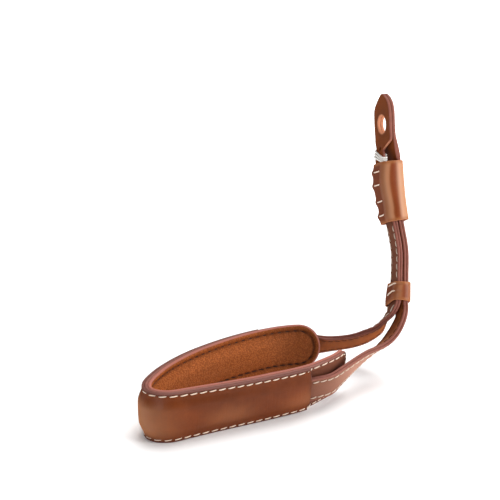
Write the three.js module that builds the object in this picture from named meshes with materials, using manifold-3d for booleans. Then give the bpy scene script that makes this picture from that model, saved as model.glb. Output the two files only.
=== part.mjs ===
// A leather camera wrist strap, in millimetres, +Z up, standing on the lower edge of its wrist pad.
//
// The wrist pad is a stack of leather layers bent into a loop: a soft lining, a base with round ends
// and a cover that ends short of them. One narrow two-ply strap runs through the pad between base and
// cover. Its two arms leave the pad, turn over and meet in a small keeper, run up side by side, and end
// in a stitched sleeve. Two leather flaps come out of the sleeve and meet in a tab with a round hole.
import * as THREE from "three";
import { mergeVertices } from "three/addons/utils/BufferGeometryUtils.js";
import Module from "manifold-3d";

const wasm = await Module();
wasm.setup();

// ---- driving dimensions ----
const GAP = 0.3;                  // clearance between neighbouring pieces
const PAD_WIDTH = 23;
const LINING_THICKNESS = 1.1;
const BASE_THICKNESS = 1.2;
const COVER_THICKNESS = 1.1;
const LINING_CROWN = 0.7;         // how far the padding lifts the lining's middle
const STRAP_WIDTH = 12;
const PLY_THICKNESS = 1.1;
const STRAP_THICKNESS = 2 * PLY_THICKNESS + GAP;
const CHANNEL_DEPTH = 1.3;        // how far the strap presses the base in
const COVER_INSET = 32;           // the cover ends this far short of the base's round ends
const ARM_GAP = 0.6;              // between the two arms where they run side by side
const KEEPER_LENGTH = 10.6;
const SLEEVE_LENGTH = 30.5;
const WRAP_THICKNESS = 1.0;       // leather of the keeper and the sleeve
const TAB_WIDTH = 17.4;
const NECK_THICKNESS = 1.2;       // of a flap in the sleeve
const NECK_WIDTH = 10.4;          // of the left flap inside its binding
const NECK_MIDDLE = -0.8;
const FLAP_IN_SLEEVE = 22;        // length of flap hidden in the sleeve
const FLAP_LENGTH = 34.6;         // length of flap above the sleeve
const HOLE_HEIGHT = 19.3;         // middle of the tab's hole above the sleeve
const HOLE_DIAMETER = 9.0;
const EYELET_HEIGHT = 7.0;        // small hole in the left flap, above the binding
const EYELET_ACROSS = -1.4;
const EYELET_DIAMETER = 2.2;
const CORD_THICKNESS = 0.8;
const CORD_BAND = 1.9;            // height of the three turns of cord
const CORD_HEIGHT = 3.4;          // middle of the binding above the sleeve
const CORD_SLANT = 0.37;          // rise of the binding towards the back, per millimetre

// Wrist pad, along the face between base and cover at half height, from one round end to the other.
// lean: how far the upper edge tips towards the front (-Y), in degrees.
// rise: how far the strap's pull lifts that end off the surface.
const PAD_ROUTE = [
  { x: 21.0, y: 24.8, lean: -16 },
  { x: 15.0, y: 26.2, lean: -15 },
  { x: 8.0, y: 26.3, lean: -14 },
  { x: -2.0, y: 23.6, lean: -12 },
  { x: -12.5, y: 18.3, lean: -11 },
  { x: -23.0, y: 11.2, lean: -10 },
  { x: -33.5, y: 2.2, lean: -9 },
  { x: -43.5, y: -8.0, lean: -7 },
  { x: -52.0, y: -19.7, lean: -5 },
  { x: -57.8, y: -31.1, lean: -2 },
  { x: -60.2, y: -40.5, lean: 0 },
  { x: -58.7, y: -46.7, lean: 0 },
  { x: -54.0, y: -49.7, lean: 0 },
  { x: -48.0, y: -49.8, lean: 2 },
  { x: -41.5, y: -47.1, lean: 5 },
  { x: -28.0, y: -41.2, lean: 9 },
  { x: -15.0, y: -35.6, lean: 11 },
  { x: -2.0, y: -30.0, lean: 12, rise: 0.3 },
  { x: 11.0, y: -24.2, lean: 13, rise: 1.0 },
  { x: 18.5, y: -18.4, lean: 17, rise: 1.5 },
  { x: 25.5, y: -10.0, lean: 22, rise: 1.2 },
  { x: 30.6, y: 0.5, lean: 25, rise: 0.4 },
];

// Middle of the strap from the pad's rear end up to the keeper.
const REAR_ARM = [
  { x: -2.8, y: 24.9, z: 11.3, lean: -11 },
  { x: 5.5, y: 28.2, z: 11.0, lean: -7 },
  { x: 12.5, y: 30.2, z: 10.8, lean: 3 },
  { x: 18.5, y: 31.1, z: 10.7, lean: 19 },
  { x: 24.6, y: 31.2, z: 10.9, lean: 34 },
  { x: 31.7, y: 30.5, z: 11.9, lean: 40 },
  { x: 36.9, y: 29.4, z: 13.2, lean: 42 },
  { x: 42.0, y: 27.8, z: 15.5, lean: 43 },
  { x: 46.2, y: 25.6, z: 18.9, lean: 45 },
  { x: 49.6, y: 22.4, z: 23.6, lean: 49 },
  { x: 52.8, y: 20.7, z: 28.9, lean: 54, turn: 4 },
  { x: 54.8, y: 20.0, z: 32.6, lean: 58, turn: 8 },
];

// Middle of the strap from the pad's front end up to the keeper.
const FRONT_ARM = [
  { x: 22.2, y: -18.0, z: 11.6, lean: 18 },
  { x: 27.1, y: -12.4, z: 12.6, lean: 29 },
  { x: 32.3, y: -6.3, z: 14.0, lean: 39 },
  { x: 36.6, y: -1.5, z: 15.2, lean: 46 },
  { x: 41.2, y: 3.0, z: 16.5, lean: 52 },
  { x: 46.0, y: 6.6, z: 17.8, lean: 57, turn: 8 },
  { x: 50.2, y: 9.2, z: 19.6, lean: 60, turn: 15 },
  { x: 54.2, y: 11.5, z: 23.0, lean: 62, turn: 18 },
  { x: 57.9, y: 13.9, z: 28.2, lean: 62, turn: 15 },
  { x: 59.8, y: 15.9, z: 32.2, lean: 62, turn: 10 },
];

// Middle of everything above the keeper. turn: how far the front edge swings towards +X, in degrees.
const STEM_ROUTE = [
  { x: 58.9, y: 19.0, z: 35.4, lean: 62, turn: 10 },
  { x: 59.2, y: 21.7, z: 42.3, lean: 62, turn: 10 },
  { x: 59.5, y: 24.8, z: 49.2, lean: 63, turn: 9 },
  { x: 60.0, y: 30.5, z: 61.5, lean: 66, turn: 7.5 },
  { x: 57.7, y: 36.0, z: 75.4, lean: 69, turn: 8 },
  { x: 55.9, y: 41.0, z: 89.0, lean: 71, turn: 11 },
  { x: 54.8, y: 45.3, z: 102.6, lean: 74, turn: 14 },
  { x: 53.6, y: 48.2, z: 113.0, lean: 77, turn: 16.5 },
  { x: 52.8, y: 50.0, z: 122.3, lean: 80, turn: 17 },
  { x: 52.1, y: 51.9, z: 140.0, lean: 81, turn: 17 },
];
const KEEPER_MIDDLE = 7.1;        // along the stem
const SLEEVE_START = 43.2;        // along the stem

// The left flap's outline: how far its two sides are from the middle at heights above the sleeve.
// The far side is cut straight at the tip; the near side has a notch in the neck and a round tip.
const FLAP_OUTLINE = [
  { height: -FLAP_IN_SLEEVE, far: 6.0, near: 6.0 },
  { height: -3.0, far: 6.0, near: 6.0 },
  { height: 0.4, far: 6.0, near: 4.3 },
  { height: 4.6, far: 6.0, near: 3.5 },
  { height: 6.4, far: 6.0, near: 2.0 },
  { height: 7.4, far: 6.1, near: 3.3 },
  { height: 10.6, far: 8.7, near: 8.7 },
  { height: 24.0, far: 8.7, near: 8.6 },
  { height: 26.2, far: 8.7, near: 8.3 },
  { height: 28.2, far: 7.3, near: 7.8 },
  { height: 30.5, far: 5.3, near: 6.6 },
  { height: 32.4, far: 3.3, near: 4.6 },
  { height: 33.7, far: 1.7, near: 2.6 },
  { height: FLAP_LENGTH, far: 0.6, near: 0.6 },
];
const RIGHT_NECK_SPREAD = 10.6;   // height at which the right flap's plain neck has its full width

// Inner and outer faces of the flaps from the stem at heights above the sleeve.
const LEFT_FACES = [
  { height: -FLAP_IN_SLEEVE, inner: 3.25, outer: 4.4 },
  { height: 0.0, inner: 3.25, outer: 4.35 },
  { height: 2.0, inner: 3.05, outer: 4.35 },
  { height: 4.0, inner: 2.55, outer: 3.85 },
  { height: 6.2, inner: 1.85, outer: 3.2 },
  { height: 8.2, inner: 1.15, outer: 2.55 },
  { height: 10.4, inner: 0.5, outer: 1.95 },
  { height: 13.0, inner: 0.15, outer: 1.65 },
];
const RIGHT_FACES = [
  { height: -FLAP_IN_SLEEVE, inner: 3.25, outer: 4.4 },
  { height: -0.8, inner: 3.25, outer: 4.35 },
  { height: 0.6, inner: 2.2, outer: 4.4 },
  { height: 2.0, inner: 1.9, outer: 4.45 },
  { height: 4.0, inner: 1.45, outer: 3.95 },
  { height: 6.2, inner: 0.95, outer: 3.3 },
  { height: 8.2, inner: 0.55, outer: 2.65 },
  { height: 10.4, inner: 0.25, outer: 2.05 },
  { height: 13.0, inner: 0.15, outer: 1.65 },
];

// The keeper's left wall stands out under its stitches.
const KEEPER_SHAPE = [
  { height: 0.0, out: 1.0, inside: 1.0, far: 0.9 },
  { height: 2.4, out: 1.2, inside: 0.8, far: 0.5 },
  { height: 6.4, out: 0.9, inside: 0.2, far: 0.1 },
  { height: KEEPER_LENGTH, out: 0.2, inside: 0.0, far: 0 },
];

// The sleeve's left wall stands out at each stitch and tapers down its length.
const SLEEVE_SHAPE = [
  { height: 0.0, out: -0.1, inside: 0, far: 0 },
  { height: 3.8, out: 0.4, inside: 0, far: 0 },
  { height: 7.0, out: 0.0, inside: 0, far: 0 },
  { height: 11.0, out: 0.3, inside: 0, far: 0 },
  { height: 14.5, out: 0.7, inside: 0, far: 0 },
  { height: 19.0, out: 1.1, inside: 0, far: 0 },
  { height: 22.5, out: 1.1, inside: 0, far: 0 },
  { height: 26.0, out: 0.8, inside: 0, far: 0 },
  { height: SLEEVE_LENGTH, out: 0.0, inside: 0, far: 0 },
];

const LEATHER = {
  cover: { color: 0x8f5026, roughness: 0.42, metalness: 0 },
  base: { color: 0x9b5f4c, roughness: 0.6, metalness: 0 },
  lining: { color: 0x9a5528, roughness: 0.7, metalness: 0 },
  strap: { color: 0x96604a, roughness: 0.55, metalness: 0 },
  wrap: { color: 0xb06a3a, roughness: 0.45, metalness: 0 },
  flap: { color: 0x8a4a2a, roughness: 0.5, metalness: 0 },
};
const CORD = { color: 0xf2efe8, roughness: 0.8, metalness: 0 };

// ---- routes ----
const between = (a, b, k) => a + (b - a) * k;
const ease = (k) => {
  const t = Math.min(1, Math.max(0, k));
  return t * t * (3 - 2 * t);
};

// Reads a table's column at a place, straight between its rows.
function lookUp(table, column, value, place) {
  const last = table.findIndex((row) => row[column] >= place);
  if (last < 0) return table.at(-1)[value];
  if (last === 0) return table[0][value];
  const [a, b] = [table[last - 1], table[last]];
  return between(a[value], b[value], (place - a[column]) / (b[column] - a[column]));
}

// Direction of the upper (or front) edge of a ribbon that leans and turns.
function widthDirection({ lean, turn = 0 }) {
  const [tip, swing] = [lean, turn].map(THREE.MathUtils.degToRad);
  return new THREE.Vector3(Math.sin(swing) * Math.sin(tip), -Math.cos(swing) * Math.sin(tip), Math.cos(tip));
}

const station = (row) => ({
  point: new THREE.Vector3(row.x, row.y, row.z ?? PAD_WIDTH / 2 + (row.rise ?? 0)),
  width: widthDirection(row),
});

// A smooth route through stations. Each of its frames has a point, the direction along the route, the
// width direction square to it, and the normal, which points out of the loop.
function makeRoute(stations, steps = 8) {
  const line = new THREE.CatmullRomCurve3(stations.map((s) => s.point), false, "centripetal");
  const edge = new THREE.CatmullRomCurve3(stations.map((s) => s.width), false, "catmullrom");
  const count = (stations.length - 1) * steps;
  const frames = [];
  let length = 0;
  for (let i = 0; i <= count; i += 1) {
    const point = line.getPoint(i / count);
    const along = line.getTangent(i / count);
    const width = edge.getPoint(i / count);
    width.addScaledVector(along, -width.dot(along)).normalize();
    if (i > 0) length += point.distanceTo(frames[i - 1].point);
    frames.push({ place: length, point, along, width, normal: along.clone().cross(width) });
  }
  return { frames, length };
}

// The frame at a distance along a route.
function frameAt(route, place) {
  const { frames } = route;
  let i = frames.findIndex((f) => f.place >= place);
  if (i < 0) i = frames.length - 1;
  i = Math.max(1, i);
  const [a, b] = [frames[i - 1], frames[i]];
  const k = (place - a.place) / (b.place - a.place);
  const mixed = (key) => a[key].clone().lerp(b[key], k);
  const along = mixed("along").normalize();
  const width = mixed("width");
  width.addScaledVector(along, -width.dot(along)).normalize();
  return { place, point: mixed("point"), along, width, normal: along.clone().cross(width) };
}

// Places along a route for a faceted sweep: one wherever it has gone far enough or turned enough.
const LONGEST_STEP = 6;
const LARGEST_TURN = THREE.MathUtils.degToRad(11);
function placesAlong(route, from, to) {
  const places = [from];
  let last = frameAt(route, from);
  for (const frame of route.frames) {
    if (frame.place <= from || frame.place >= to) continue;
    const turned = Math.max(frame.along.angleTo(last.along), frame.width.angleTo(last.width));
    if (frame.place - last.place >= LONGEST_STEP || turned >= LARGEST_TURN) {
      places.push(frame.place);
      last = frame;
    }
  }
  if (to - places.at(-1) < 1) places.pop();
  places.push(to);
  return places;
}

const spot = (frame, width, normal) =>
  frame.point.clone().addScaledVector(frame.width, width).addScaledVector(frame.normal, normal);

// ---- solids ----
// A closed mesh from points and triangles, turned so that its faces point out.
function closedMesh(points, triangles) {
  let volume = 0;
  const cross = new THREE.Vector3();
  for (const [a, b, c] of triangles) volume += points[a].dot(cross.crossVectors(points[b], points[c]));
  const outward = volume < 0 ? triangles.map(([a, b, c]) => [a, c, b]) : triangles;
  const geometry = new THREE.BufferGeometry().setFromPoints(points);
  geometry.setIndex(outward.flat());
  return geometry;
}

// A ribbon swept along frames. across(frame) gives its section as columns { w, low, high }. Its two
// faces are cut along the same diagonals, so that ribbons that twist together stay apart.
function ribbon(frames, across) {
  const points = [];
  const triangles = [];
  let ring = 0;
  for (const frame of frames) {
    const columns = across(frame);
    ring = 2 * columns.length;
    for (const { w, high } of columns) points.push(spot(frame, w, high));
    for (const { w, low } of columns.toReversed()) points.push(spot(frame, w, low));
  }
  for (let i = 0; i + 1 < frames.length; i += 1) {
    for (let j = 0; j < ring; j += 1) {
      const k = (j + 1) % ring;
      const [a, b, c, d] = [i * ring + j, i * ring + k, (i + 1) * ring + k, (i + 1) * ring + j];
      if (j < ring / 2) triangles.push([a, b, c], [a, c, d]);
      else triangles.push([a, b, d], [b, c, d]);
    }
  }
  const end = (frames.length - 1) * ring;
  for (let j = 0; j + 1 < ring / 2; j += 1) {
    const [a, b, c, d] = [j, j + 1, ring - 2 - j, ring - 1 - j];
    triangles.push([a, c, b], [a, d, c]);
    triangles.push([end + a, end + b, end + c], [end + a, end + c, end + d]);
  }
  return closedMesh(points, triangles);
}

// A rectangle with round corners, as points { n, w } in order.
const CORNER_STEPS = 3;
function roundedOutline(halfNormal, halfWidth, radius) {
  const outline = [];
  for (const [signN, signW, start] of [[1, 1, 0], [-1, 1, 90], [-1, -1, 180], [1, -1, 270]]) {
    for (let i = 0; i <= CORNER_STEPS; i += 1) {
      const angle = THREE.MathUtils.degToRad(start + (90 * i) / CORNER_STEPS);
      outline.push({
        n: signN * (halfNormal - radius) + radius * Math.cos(angle),
        w: signW * (halfWidth - radius) + radius * Math.sin(angle),
      });
    }
  }
  return outline;
}

// A wrap: a tube between two outlines, open at both ends. outside and inside give the outlines at a
// place, slant lifts the tube along the route as it goes back, and centre(place) is its middle.
function wrap(route, places, { outside, inside, slant = 0, centre = () => 0 }) {
  const points = [];
  const triangles = [];
  const size = outside(0).length;
  const ringPoint = (place, { n, w }) => {
    const at = place - slant * w;
    return spot(frameAt(route, at), w, n + centre(at));
  };
  for (const place of places) {
    for (const p of outside(place)) points.push(ringPoint(place, p));
    for (const p of inside(place)) points.push(ringPoint(place, p));
  }
  const quad = (a, b, c, d) => triangles.push([a, b, c], [a, c, d]);
  const last = (places.length - 1) * 2 * size;
  for (let j = 0; j < size; j += 1) {
    const k = (j + 1) % size;
    for (let i = 0; i + 1 < places.length; i += 1) {
      const [here, next] = [2 * size * i, 2 * size * (i + 1)];
      quad(here + j, here + k, next + k, next + j);
      quad(here + size + k, here + size + j, next + size + j, next + size + k);
    }
    quad(j, size + j, size + k, k);
    quad(last + k, last + size + k, last + size + j, last + j);
  }
  return closedMesh(points, triangles);
}

function toManifold(geometry) {
  const bare = geometry.clone();
  bare.deleteAttribute("normal");
  bare.deleteAttribute("uv");
  const merged = mergeVertices(bare, 1e-4);
  return new wasm.Manifold(new wasm.Mesh({
    numProp: 3,
    vertProperties: new Float32Array(merged.getAttribute("position").array),
    triVerts: new Uint32Array(merged.getIndex().array),
  }));
}

// Punches a round hole through a piece, along a frame's normal.
const HOLE_SIDES = 32;
function punch(geometry, frame, diameter) {
  const cutter = new THREE.CylinderGeometry(diameter / 2, diameter / 2, 4 * STRAP_THICKNESS, HOLE_SIDES);
  const turn = new THREE.Quaternion().setFromUnitVectors(new THREE.Vector3(0, 1, 0), frame.normal);
  cutter.applyQuaternion(turn).translate(...frame.point.toArray());
  const mesh = toManifold(geometry).subtract(toManifold(cutter)).getMesh();
  const punched = new THREE.BufferGeometry();
  punched.setAttribute("position", new THREE.BufferAttribute(new Float32Array(mesh.vertProperties), 3));
  punched.setIndex(new THREE.BufferAttribute(new Uint32Array(mesh.triVerts), 1));
  return punched;
}

const strap = new THREE.Group();
function addPiece(name, geometry, finish) {
  const mesh = new THREE.Mesh(geometry, new THREE.MeshStandardMaterial(finish));
  mesh.name = name;
  strap.add(mesh);
}

// ---- wrist pad ----
const padRoute = makeRoute(PAD_ROUTE.map(station));
const coverEnds = [COVER_INSET, padRoute.length - COVER_INSET];
const CHANNEL_HALF = STRAP_WIDTH / 2 + GAP + 0.8; // half width of the channel that the strap lies in
const CHANNEL_SLOPE = 2.4;                       // width over which the channel runs out
const FADE_OUT = 14;                             // length over which it runs out past the cover

// Depth of the channel at a place along the pad: full under the cover, none at the round ends.
function channelAt(place) {
  const past = Math.max(coverEnds[0] - place, place - coverEnds[1], 0);
  return CHANNEL_DEPTH * (1 - ease(past / FADE_OUT));
}

// Half the pad's width at a place: the ends are half circles.
function padHalfWidth(place) {
  const radius = PAD_WIDTH / 2;
  const fromEnd = Math.min(place, padRoute.length - place, radius);
  return Math.sqrt(radius * radius - (radius - fromEnd) ** 2);
}

// Places along the pad with extra ones round its ends.
const ROUND_END_STEPS = [10, 24, 38, 52, 66, 80];
const roundEnd = ROUND_END_STEPS.map((angle) =>
  (PAD_WIDTH / 2) * (1 - Math.cos(THREE.MathUtils.degToRad(angle))));
const padPlaces = [
  ...roundEnd,
  ...placesAlong(padRoute, PAD_WIDTH / 2, padRoute.length - PAD_WIDTH / 2),
  ...roundEnd.toReversed().map((d) => padRoute.length - d),
];
const padFrames = padPlaces.map((place) => frameAt(padRoute, place));

// Columns across the pad: the edge, the foot of the channel, its shoulder and the middle.
const PAD_COLUMNS = [-1, -0.55, 0, 0.55, 1].flatMap((k) =>
  Math.abs(k) === 1 ? [k * PAD_WIDTH / 2, k * (CHANNEL_HALF + CHANNEL_SLOPE)] : [k * CHANNEL_HALF / 0.55])
  .sort((a, b) => a - b);

// How much of the channel's depth a column has.
const inChannel = (w) => 1 - ease((Math.abs(w) - CHANNEL_HALF) / CHANNEL_SLOPE);

function padLayer(low, high) {
  return (frame) => {
    const squeeze = padHalfWidth(frame.place) / (PAD_WIDTH / 2);
    const depth = channelAt(frame.place);
    return PAD_COLUMNS.map((w) => ({ w: w * squeeze, low: low(w, depth, squeeze), high: high(w, depth, squeeze) }));
  };
}

const baseInside = (w, depth) => -BASE_THICKNESS - depth * inChannel(w);
const liningInside = (w, depth, squeeze) =>
  baseInside(w, depth) - GAP - LINING_THICKNESS - LINING_CROWN * squeeze * inChannel(w);

addPiece("pad_base", ribbon(padFrames, padLayer(
  baseInside,
  (w, depth) => -depth * inChannel(w),
)), LEATHER.base);

addPiece("pad_lining", ribbon(padFrames, padLayer(
  liningInside,
  (w, depth) => baseInside(w, depth) - GAP,
)), LEATHER.lining);

// The strap lies in the channel and lifts the cover over it.
const STRAP_SEAT = GAP - CHANNEL_DEPTH;          // the strap's inner face, from the base's outer face
const COVER_RISE = STRAP_SEAT + STRAP_THICKNESS; // how far the cover's middle stands above its edges
const coverInside = (w) => GAP + COVER_RISE * inChannel(w);
const coverFrames = placesAlong(padRoute, ...coverEnds).map((place) => frameAt(padRoute, place));
addPiece("pad_cover", ribbon(coverFrames, () => PAD_COLUMNS.map((w) => ({
  w,
  low: coverInside(w),
  high: coverInside(w) + COVER_THICKNESS,
}))), LEATHER.cover);

// ---- strap ----
const stemRoute = makeRoute(STEM_ROUTE.map(station));
const sleeveTop = SLEEVE_START + SLEEVE_LENGTH;
const ARM_OFFSET = (ARM_GAP + STRAP_THICKNESS) / 2;
const STATION_STEP = 4.5;
const STEM_CLEAR = 0.3;                          // the arms are side by side from here up the stem

// The rear arm leaves the stem inside the keeper: how far it is off at a place up the stem.
const LEAVE_BELOW = 8;
const LEAVE_BY = 1.6;
const LEAVE_FROM = 2.4;
const leaving = (place) => LEAVE_BY * Math.max(0, 1 - place / LEAVE_BELOW) ** 2;

// Stations of one arm beside the stem; side is -1 for the rear (left) arm and 1 for the front one.
function stemStations(side) {
  const [from, to] = [side < 0 ? LEAVE_FROM : STEM_CLEAR, sleeveTop - 1];
  const count = Math.round((to - from) / STATION_STEP);
  return Array.from({ length: count + 1 }, (_, i) => {
    const frame = frameAt(stemRoute, between(from, to, i / count));
    const off = ARM_OFFSET + (side < 0 ? leaving(frame.place) : 0);
    return { point: spot(frame, 0, side * off), width: frame.width };
  });
}

// Stations in the pad's channel. The strap's pull drops it a little towards the front end.
const STRAP_DROP = 0.8;
const STRAP_DROP_LENGTH = 40;
function channelStations() {
  const [from, to] = coverEnds;
  const count = Math.round((to - from) / STATION_STEP);
  return Array.from({ length: count + 1 }, (_, i) => {
    const frame = frameAt(padRoute, from + ((to - from) * i) / count);
    const drop = STRAP_DROP * ease((frame.place - to) / STRAP_DROP_LENGTH + 1);
    return { point: spot(frame, -drop, STRAP_SEAT + STRAP_THICKNESS / 2), width: frame.width };
  });
}

const strapRoute = makeRoute([
  ...stemStations(-1).toReversed(),
  ...REAR_ARM.toReversed().map(station),
  ...channelStations(),
  ...FRONT_ARM.map(station),
  ...stemStations(1),
], 6);
const strapFrames = placesAlong(strapRoute, 0, strapRoute.length).map((place) => frameAt(strapRoute, place));
const plyBetween = (low, high) => () => [
  { w: -STRAP_WIDTH / 2, low, high },
  { w: STRAP_WIDTH / 2, low, high },
];
addPiece("strap_outer_ply", ribbon(strapFrames, plyBetween(GAP / 2, GAP / 2 + PLY_THICKNESS)), LEATHER.strap);
addPiece("strap_inner_ply", ribbon(strapFrames, plyBetween(-GAP / 2 - PLY_THICKNESS, -GAP / 2)), LEATHER.strap);

// ---- keeper and sleeve ----
const stemPlaces = (from, length, count) => Array.from({ length: count + 1 }, (_, i) => from + (length * i) / count);
const ARMS_HALF = ARM_GAP / 2 + STRAP_THICKNESS;
const BEND_CLEAR = 0.15;                         // more clearance where the stem bends
const FLAP_APART = ARMS_HALF + GAP + BEND_CLEAR; // inner face of a flap from the stem, in the sleeve
const SLEEVE_HALF = FLAP_APART + NECK_THICKNESS + GAP + BEND_CLEAR;
const WRAP_HALF_WIDTH = STRAP_WIDTH / 2 + GAP + BEND_CLEAR;
const INNER_CORNER = 1.2;
const wrapOutlines = (halfNormal) => [
  roundedOutline(halfNormal + WRAP_THICKNESS, WRAP_HALF_WIDTH + WRAP_THICKNESS, INNER_CORNER + WRAP_THICKNESS),
  roundedOutline(halfNormal, WRAP_HALF_WIDTH, INNER_CORNER),
];

// A wrap round the stem whose left wall stands out as a table of heights says.
function stitchedWrap(halfNormal, from, shape) {
  const [outside, inside] = wrapOutlines(halfNormal);
  const swell = (outline, column) => (place) => {
    const out = lookUp(shape, "height", column, place - from);
    const far = lookUp(shape, "height", "far", place - from);
    return outline.map(({ n, w }) => ({ n: n < 0 ? n - out : n, w: w < 0 ? w - far : w }));
  };
  const places = shape.map((row) => from + row.height);
  return wrap(stemRoute, places, { outside: swell(outside, "out"), inside: swell(inside, "inside") });
}

const keeperStart = KEEPER_MIDDLE - KEEPER_LENGTH / 2;
addPiece("keeper", stitchedWrap(ARMS_HALF + GAP + BEND_CLEAR, keeperStart, KEEPER_SHAPE), LEATHER.wrap);
addPiece("sleeve", stitchedWrap(SLEEVE_HALF, SLEEVE_START, SLEEVE_SHAPE), LEATHER.wrap);

// ---- flaps ----
// Inner face of a flap from the stem at a height above the sleeve.
const leftFace = (face, height) => lookUp(LEFT_FACES, "height", face, height);

const flapHeights = [...new Set([
  ...FLAP_OUTLINE.map((row) => row.height),
  ...LEFT_FACES.map((row) => row.height),
  ...RIGHT_FACES.map((row) => row.height),
  -12, -4, 22,
])].sort((a, b) => a - b);
const flapFrames = flapHeights.map((height) => frameAt(stemRoute, sleeveTop + height));

// A flap; side is -1 for the left one. The right one's neck has no notch.
function flap(side, faces) {
  return ribbon(flapFrames, (frame) => {
    const height = frame.place - sleeveTop;
    const far = lookUp(FLAP_OUTLINE, "height", "far", height);
    const plain = between(STRAP_WIDTH / 2, TAB_WIDTH / 2, ease(height / RIGHT_NECK_SPREAD));
    const near = lookUp(FLAP_OUTLINE, "height", "near", height);
    const right = side > 0 && height < RIGHT_NECK_SPREAD ? plain : near;
    const inner = side * lookUp(faces, "height", "inner", height);
    const outer = side * lookUp(faces, "height", "outer", height);
    return [-far, right].map((w) => ({ w, low: Math.min(inner, outer), high: Math.max(inner, outer) }));
  });
}

const holeFrame = frameAt(stemRoute, sleeveTop + HOLE_HEIGHT);
const eyeletFrame = frameAt(stemRoute, sleeveTop + EYELET_HEIGHT);
eyeletFrame.point.copy(spot(eyeletFrame, EYELET_ACROSS, -2.5 * STRAP_THICKNESS));
const leftFlap = punch(punch(flap(-1, LEFT_FACES), holeFrame, HOLE_DIAMETER), eyeletFrame, EYELET_DIAMETER);
addPiece("flap_left", leftFlap, LEATHER.flap);
addPiece("flap_right", punch(flap(1, RIGHT_FACES), holeFrame, HOLE_DIAMETER), LEATHER.flap);

// ---- binding ----
// Three turns of white cord round the left flap's neck, as one band.
const bindingPlace = sleeveTop + CORD_HEIGHT;
const bindingClear = (leftFace("outer", CORD_HEIGHT) - leftFace("inner", CORD_HEIGHT)) / 2 + 1.3 * GAP;
const bindingOutline = (more) =>
  roundedOutline(bindingClear + more, NECK_WIDTH / 2 + GAP + more, GAP + more)
    .map(({ n, w }) => ({ n, w: w + NECK_MIDDLE }));
addPiece("binding_cord", wrap(
  stemRoute,
  stemPlaces(bindingPlace - CORD_BAND / 2, CORD_BAND, 1),
  {
    outside: () => bindingOutline(CORD_THICKNESS),
    inside: () => bindingOutline(0),
    slant: CORD_SLANT,
    centre: (place) => -(leftFace("inner", place - sleeveTop) + leftFace("outer", place - sleeveTop)) / 2,
  },
), CORD);

// The origin is under the middle of the whole strap, on the surface that it stands on.
const bounds = new THREE.Box3().setFromObject(strap);
const middle = bounds.getCenter(new THREE.Vector3());
strap.position.set(-middle.x, -middle.y, -bounds.min.z);

export default strap;
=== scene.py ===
import math
from collections import namedtuple
from types import SimpleNamespace

import bmesh
import bpy
import numpy as np
from bpy.props import FloatProperty, FloatVectorProperty, PointerProperty
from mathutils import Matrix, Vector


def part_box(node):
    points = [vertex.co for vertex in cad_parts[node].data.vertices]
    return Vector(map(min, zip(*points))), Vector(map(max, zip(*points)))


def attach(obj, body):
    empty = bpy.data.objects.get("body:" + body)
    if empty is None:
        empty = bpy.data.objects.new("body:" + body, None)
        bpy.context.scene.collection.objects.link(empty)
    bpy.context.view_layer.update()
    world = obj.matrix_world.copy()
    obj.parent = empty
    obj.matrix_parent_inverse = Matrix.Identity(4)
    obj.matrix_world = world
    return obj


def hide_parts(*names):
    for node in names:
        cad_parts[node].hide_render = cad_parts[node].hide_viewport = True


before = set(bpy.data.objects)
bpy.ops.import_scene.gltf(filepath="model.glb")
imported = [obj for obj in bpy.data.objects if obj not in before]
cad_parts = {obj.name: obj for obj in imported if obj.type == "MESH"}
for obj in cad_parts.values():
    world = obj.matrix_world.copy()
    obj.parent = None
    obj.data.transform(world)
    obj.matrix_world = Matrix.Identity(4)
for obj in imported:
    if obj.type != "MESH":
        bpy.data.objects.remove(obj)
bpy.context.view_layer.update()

bl_info = {
    "name": "Leather Camera Wrist Strap",
    "version": (1, 0, 0),
    "blender": (4, 5, 0),
    "location": "View3D > Sidebar > Wrist Strap",
    "description": "Makes a stitched leather camera wrist strap round its CAD frame",
    "category": "Add Mesh",
}

# ---------------------------------------------------------------- sizes
# All lengths in this file are in millimetres; meshes are written in metres.
METRES = 0.001

PAD_WIDTH = 23.0
PAD_RADIUS = PAD_WIDTH / 2
COVER_INSET = 32.0            # the cover ends this far short of the base's round ends
CHANNEL_HALF = 7.1            # half width of the channel that the strap lies in
CHANNEL_SLOPE = 2.4
CHANNEL_DEPTH = 1.3
CHANNEL_FADE = 14.0           # length over which the channel runs out past the cover
STRAP_HALF = 6.0
PLY_THICKNESS = 1.1
PLY_GAP = 0.3
STRAP_THICKNESS = 2 * PLY_THICKNESS + PLY_GAP
STRAP_LEVEL = STRAP_THICKNESS / 2
PLY_LEVEL = 0.03              # the plies are drawn this far from the glue between them
STRAP_SEAT = PLY_GAP - CHANNEL_DEPTH
STRAP_DROP = 0.8              # the strap's pull drops it towards the pad's front end
STRAP_DROP_LENGTH = 40.0
ARM_GAP = 0.6
ARM_OFFSET = (ARM_GAP + STRAP_THICKNESS) / 2
ARMS_HALF = ARM_GAP / 2 + STRAP_THICKNESS
STEM_CLEAR = 0.3
STATION_STEP = 4.5
LEAVE_BELOW = 8.0             # below this place up the stem the rear arm leaves it
LEAVE_BY = 1.6
LEAVE_FROM = 2.4              # its stations beside the stem start here
KEEPER_START = 1.8
KEEPER_LENGTH = 10.6
SLEEVE_START = 43.2
SLEEVE_LENGTH = 30.5
SLEEVE_TOP = SLEEVE_START + SLEEVE_LENGTH
STRAP_TOP = SLEEVE_TOP - 1    # the arms end inside the sleeve
BAND_THICKNESS = 1.0          # leather of the keeper and the sleeve
BAND_CLEAR = 0.45             # from what a band goes round
NECK_THICKNESS = 1.2
TAB_HALF = 8.7
NECK_SPREAD = 10.6            # height above the sleeve at which a plain neck has its full width
FLAP_DRAWN_IN = 0.09          # the flaps are drawn this much closer to each other than as solids
FACE_SPREAD = 0.9             # their faces' tables are averaged over this each way
HOLE_HEIGHT = 19.3
HOLE_RADIUS = 4.5
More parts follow.
